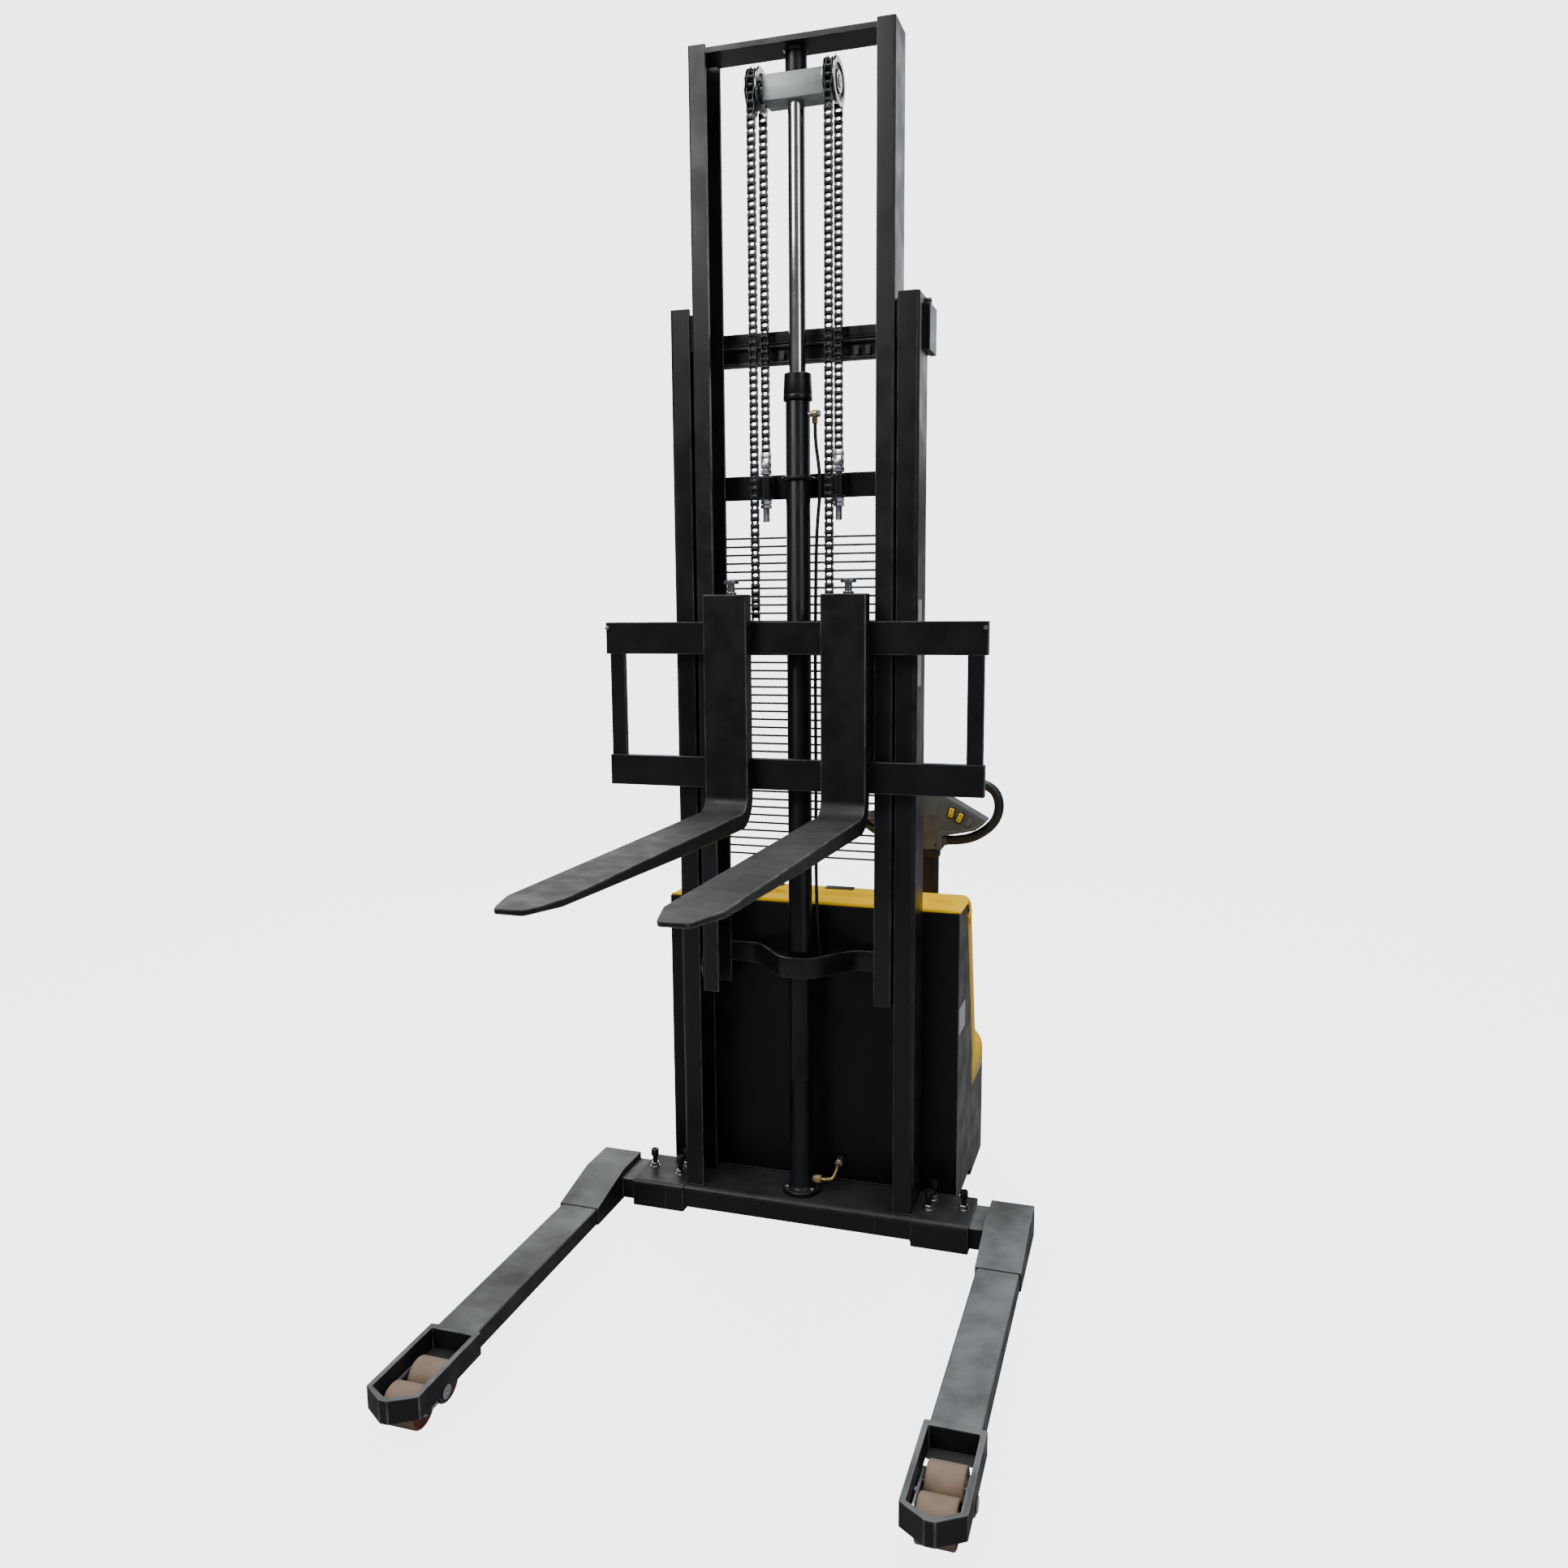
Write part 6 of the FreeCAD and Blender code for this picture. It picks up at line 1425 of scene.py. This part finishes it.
for name, low, high, across, place, axis, finish in (
        ("unionNut", 0.032, 0.048, 0.017, foot, "x", "brassFitting"),
        ("unionCollar", 0.0265, 0.033, 0.0125, foot, "x", "zincPlate"),
        ("portNut", 0.286, 0.300, 0.018, port, "y", "zincPlate"),
        ("portBase", 0.300, row["wall"], 0.022, port, "y", "blackOxide"),
        ("banjoBolt", 0.046, 0.0535, 0.0125, banjo, "x", "zincPlate"),
        ("hoseNut", 1.8795, 1.892, 0.0115, (row["banjoX"], row["banjoY"], 0), "z", "brassFitting")):
    flat, tip = across * 0.52, across * 0.577
    profile = [(low, 0, 0), (low, flat, 0), (low + 0.001, tip, 0), (high - 0.001, tip, 0), (high, flat, 0),
               (high, 0, 0)]
    parts.append((turned(name, profile, place, axis, 6, True), finish))
ringProfile = [(0.0345, 0, 0), (0.0345, 0.0075, 0), (0.036, 0.0085, 0), (0.0455, 0.0085, 0), (0.047, 0.0075, 0),
               (0.047, 0, 0)]
stemProfile = [(0.027, 0, 0), (0.027, 0.0058, 0), (0.035, 0.0058, 0), (0.035, 0, 0)]
parts += [(turned("banjoRing", ringProfile, banjo, "x", 28), "brassFitting"),
          (turned("banjoStem", stemProfile, banjo, "x", 20), "zincPlate")]
addFine("hydraulic_fittings", parts)

# weld beads: small overlapping ripples along the joints
beadSet = {"pitch": 0.0028, "deck": 0.0032, "leg": 0.0024}


def beadLine(start, end):
    start, end = Vector(start), Vector(end)
    count = max(2, int((end - start).length / beadSet["pitch"]))
    return [tuple(start + (end - start) * i / count) for i in range(count + 1)]


def beadMesh(name, lines, finish, size):
    ball = bmesh.new()
    bmesh.ops.create_uvsphere(ball, u_segments=8, v_segments=5, radius=1)
    for face in ball.faces:
        face.smooth = True
    seed = bpy.data.meshes.new("bead")
    ball.to_mesh(seed)
    ball.free()
    points = [spot for line in lines for spot in beadLine(*line)]
    return repeatMesh(name, seed, points, finish, size=size)


def onSide(side, rows):
    return [tuple((side * x, y, z) for x, y, z in line) for line in rows]


# welds of the right-hand side, each from a start to an end
deckRows = [((0.231, 0.1855, 0.1125), (0.277, 0.1855, 0.1125)), ((0.2305, 0.186, 0.1125), (0.2305, 0.200, 0.1125)),
            ((0.2775, 0.190, 0.1140), (0.2775, 0.284, 0.1140)), ((0.2775, 0.1705, 0.060), (0.2775, 0.1705, 0.100))]
legRows = [((0.447, 0.0445, 0.0915), (0.536, 0.0445, 0.0915)), ((0.4445, 0.0440, 0.055), (0.4445, 0.0440, 0.090)),
           ((0.5385, 0.0440, 0.055), (0.5385, 0.0440, 0.090)), ((0.448, -0.4780, 0.0920), (0.535, -0.4780, 0.0920)),
           ((0.4415, 0.184, 0.1035), (0.4415, 0.292, 0.1035))]
lines = [((-0.225, 0.3125, 0.1125), (0.225, 0.3125, 0.1125))]
for side in sides.values():
    lines += onSide(side, deckRows)
addPiece("deckWelds", [beadMesh("deckWelds", lines, "framePaint", beadSet["deck"])], "frame")
# painted shadow: a dark plate across the bottom of each nose behind the rear roller stands in for the shade under
# the nose
noseShadowPlate = {"x": (0.4475, 0.5355), "y": (-0.5190, -0.4885), "z": (0.0500, 0.0535)}
for word, side in sides.items():
    near, far = sorted(side * x for x in noseShadowPlate["x"])
    low, high = zip((near, far), noseShadowPlate["y"], noseShadowPlate["z"])
    plate = blockMesh("noseFloor", low, high, 0.0006, 1)
    addPiece(f"legWelds_{word}", [beadMesh("legWelds", onSide(side, legRows), "legPaint", beadSet["leg"]),
                                  (plate, "framePaint")], f"leg_{word}")
print("welds ready")

# carriage stop bolts, mast side bolts and plain foil plates
boltSet = {"stop": (0.4286, 0.1530, 1.4415), "side": (0.2768, 0.262, 2.1205)}
stopBolts, sideBolts = [], []
for side in sides.values():
    x, y, z = boltSet["stop"]
    bolt = hexHead("stopBolt", 0.0090, 0.0060, 0.003, 0.006)
    bolt.transform(Matrix.Translation((side * x, y, z)) @ Matrix.Rotation(math.pi / 2, 4, "X"))
    stopBolts.append((bolt, "zincPlate"))
    x, y, z = boltSet["side"]
    knob = socketScrew("sideBolt", 0.0085, 0.0105, 0.004, 0.0045, 0.004)
    knob.transform(Matrix.Translation((side * x, y, z)) @ Matrix.Rotation(side * math.pi / 2, 4, "Y"))
    sideBolts.append((knob, "blackOxide"))
addPiece("carriageBolts", stopBolts, "carriage")
addPiece("mastSideBolts", sideBolts, "frame")
# the foil plates are blank
foilSet = {"mastFoil": ((0.2768, 0.1985, 1.315), (0.2775, 0.2350, 1.500)),
           "boxFoil": ((0.3558, 0.3210, 0.500), (0.3566, 0.4060, 0.562))}
addPiece("foilPlates", [(blockMesh(name, low, high, 0.0002, 1), "labelFoil")
                        for name, (low, high) in foilSet.items()], "frame")

# top tie: folded ridge along its face and a row of slots below it
tieSet = {"slots": (-0.052, -0.022, 0.062, 0.118, 0.144), "slotZ": 2.038, "slot": (0.0055, 0.0095), "half": 0.218,
          "ridge": [(0.2848, 2.0560), (0.2865, 2.0550), (0.2865, 2.0612), (0.2848, 2.0600)]}
row = tieSet
parts = [(prismMesh("tieRidge", row["ridge"], -row["half"], row["half"], "x", 0.0004, 1), "innerPaint")]
for x in row["slots"]:
    slot = prismMesh("tieSlot", roundRect((x, row["slotZ"]), row["slot"], 0.002), 0.2852, 0.2866, "y", 0.0003, 1)
    parts.append((slot, "wirePaint"))
addPiece("tieDetails", parts, "frame")
print("small hardware ready")


# floor
floorSet = {"half": 14.0, "shade": (0.34, 0.34, 0.34), "rough": 0.8, "glow": (0.93, 0.935, 0.94), "lift": 4.0}
floorShape = bmesh.new()
bmesh.ops.create_grid(floorShape, x_segments=1, y_segments=1, size=floorSet["half"])
floorMesh = bpy.data.meshes.new("studioFloor")
floorShape.to_mesh(floorMesh)
floorShape.free()
studioFloor = bpy.data.objects.new("studioFloor", floorMesh)
scene.collection.objects.link(studioFloor)
floorPaint = bpy.data.materials.new("floorPaint")
floorPaint.use_nodes = True
floorTree = floorPaint.node_tree
floorShader = floorTree.nodes["Principled BSDF"]
floorShader.inputs["Base Color"].default_value = (*floorSet["shade"], 1)
floorShader.inputs["Roughness"].default_value = floorSet["rough"]
floorShader.inputs["Emission Color"].default_value = (*floorSet["glow"], 1)
floorSeen = addNode(floorTree, "ShaderNodeLightPath").outputs["Is Camera Ray"]
floorGlow = maths(floorTree, "MULTIPLY", floorSeen, floorSet["lift"])
floorTree.links.new(floorGlow, floorShader.inputs["Emission Strength"])
floorMesh.materials.append(floorPaint)

studio = bpy.data.worlds.new("studioAir")
studio.use_nodes = True
scene.world = studio
airSet = {"seen": (0.93, 0.935, 0.94), "cast": (0.8, 0.83, 0.88), "seenPower": 4.2, "castPower": 0.2}
air = studio.node_tree
air.nodes.clear()
ray = addNode(air, "ShaderNodeLightPath")
cast = addNode(air, "ShaderNodeBackground", {"Color": (*airSet["cast"], 1), "Strength": airSet["castPower"]})
seen = addNode(air, "ShaderNodeBackground", {"Color": (*airSet["seen"], 1), "Strength": airSet["seenPower"]})
both = addNode(air, "ShaderNodeMixShader",
               {0: ray.outputs["Is Camera Ray"], 1: cast.outputs[0], 2: seen.outputs[0]})
addNode(air, "ShaderNodeOutputWorld", {"Surface": both.outputs[0]})
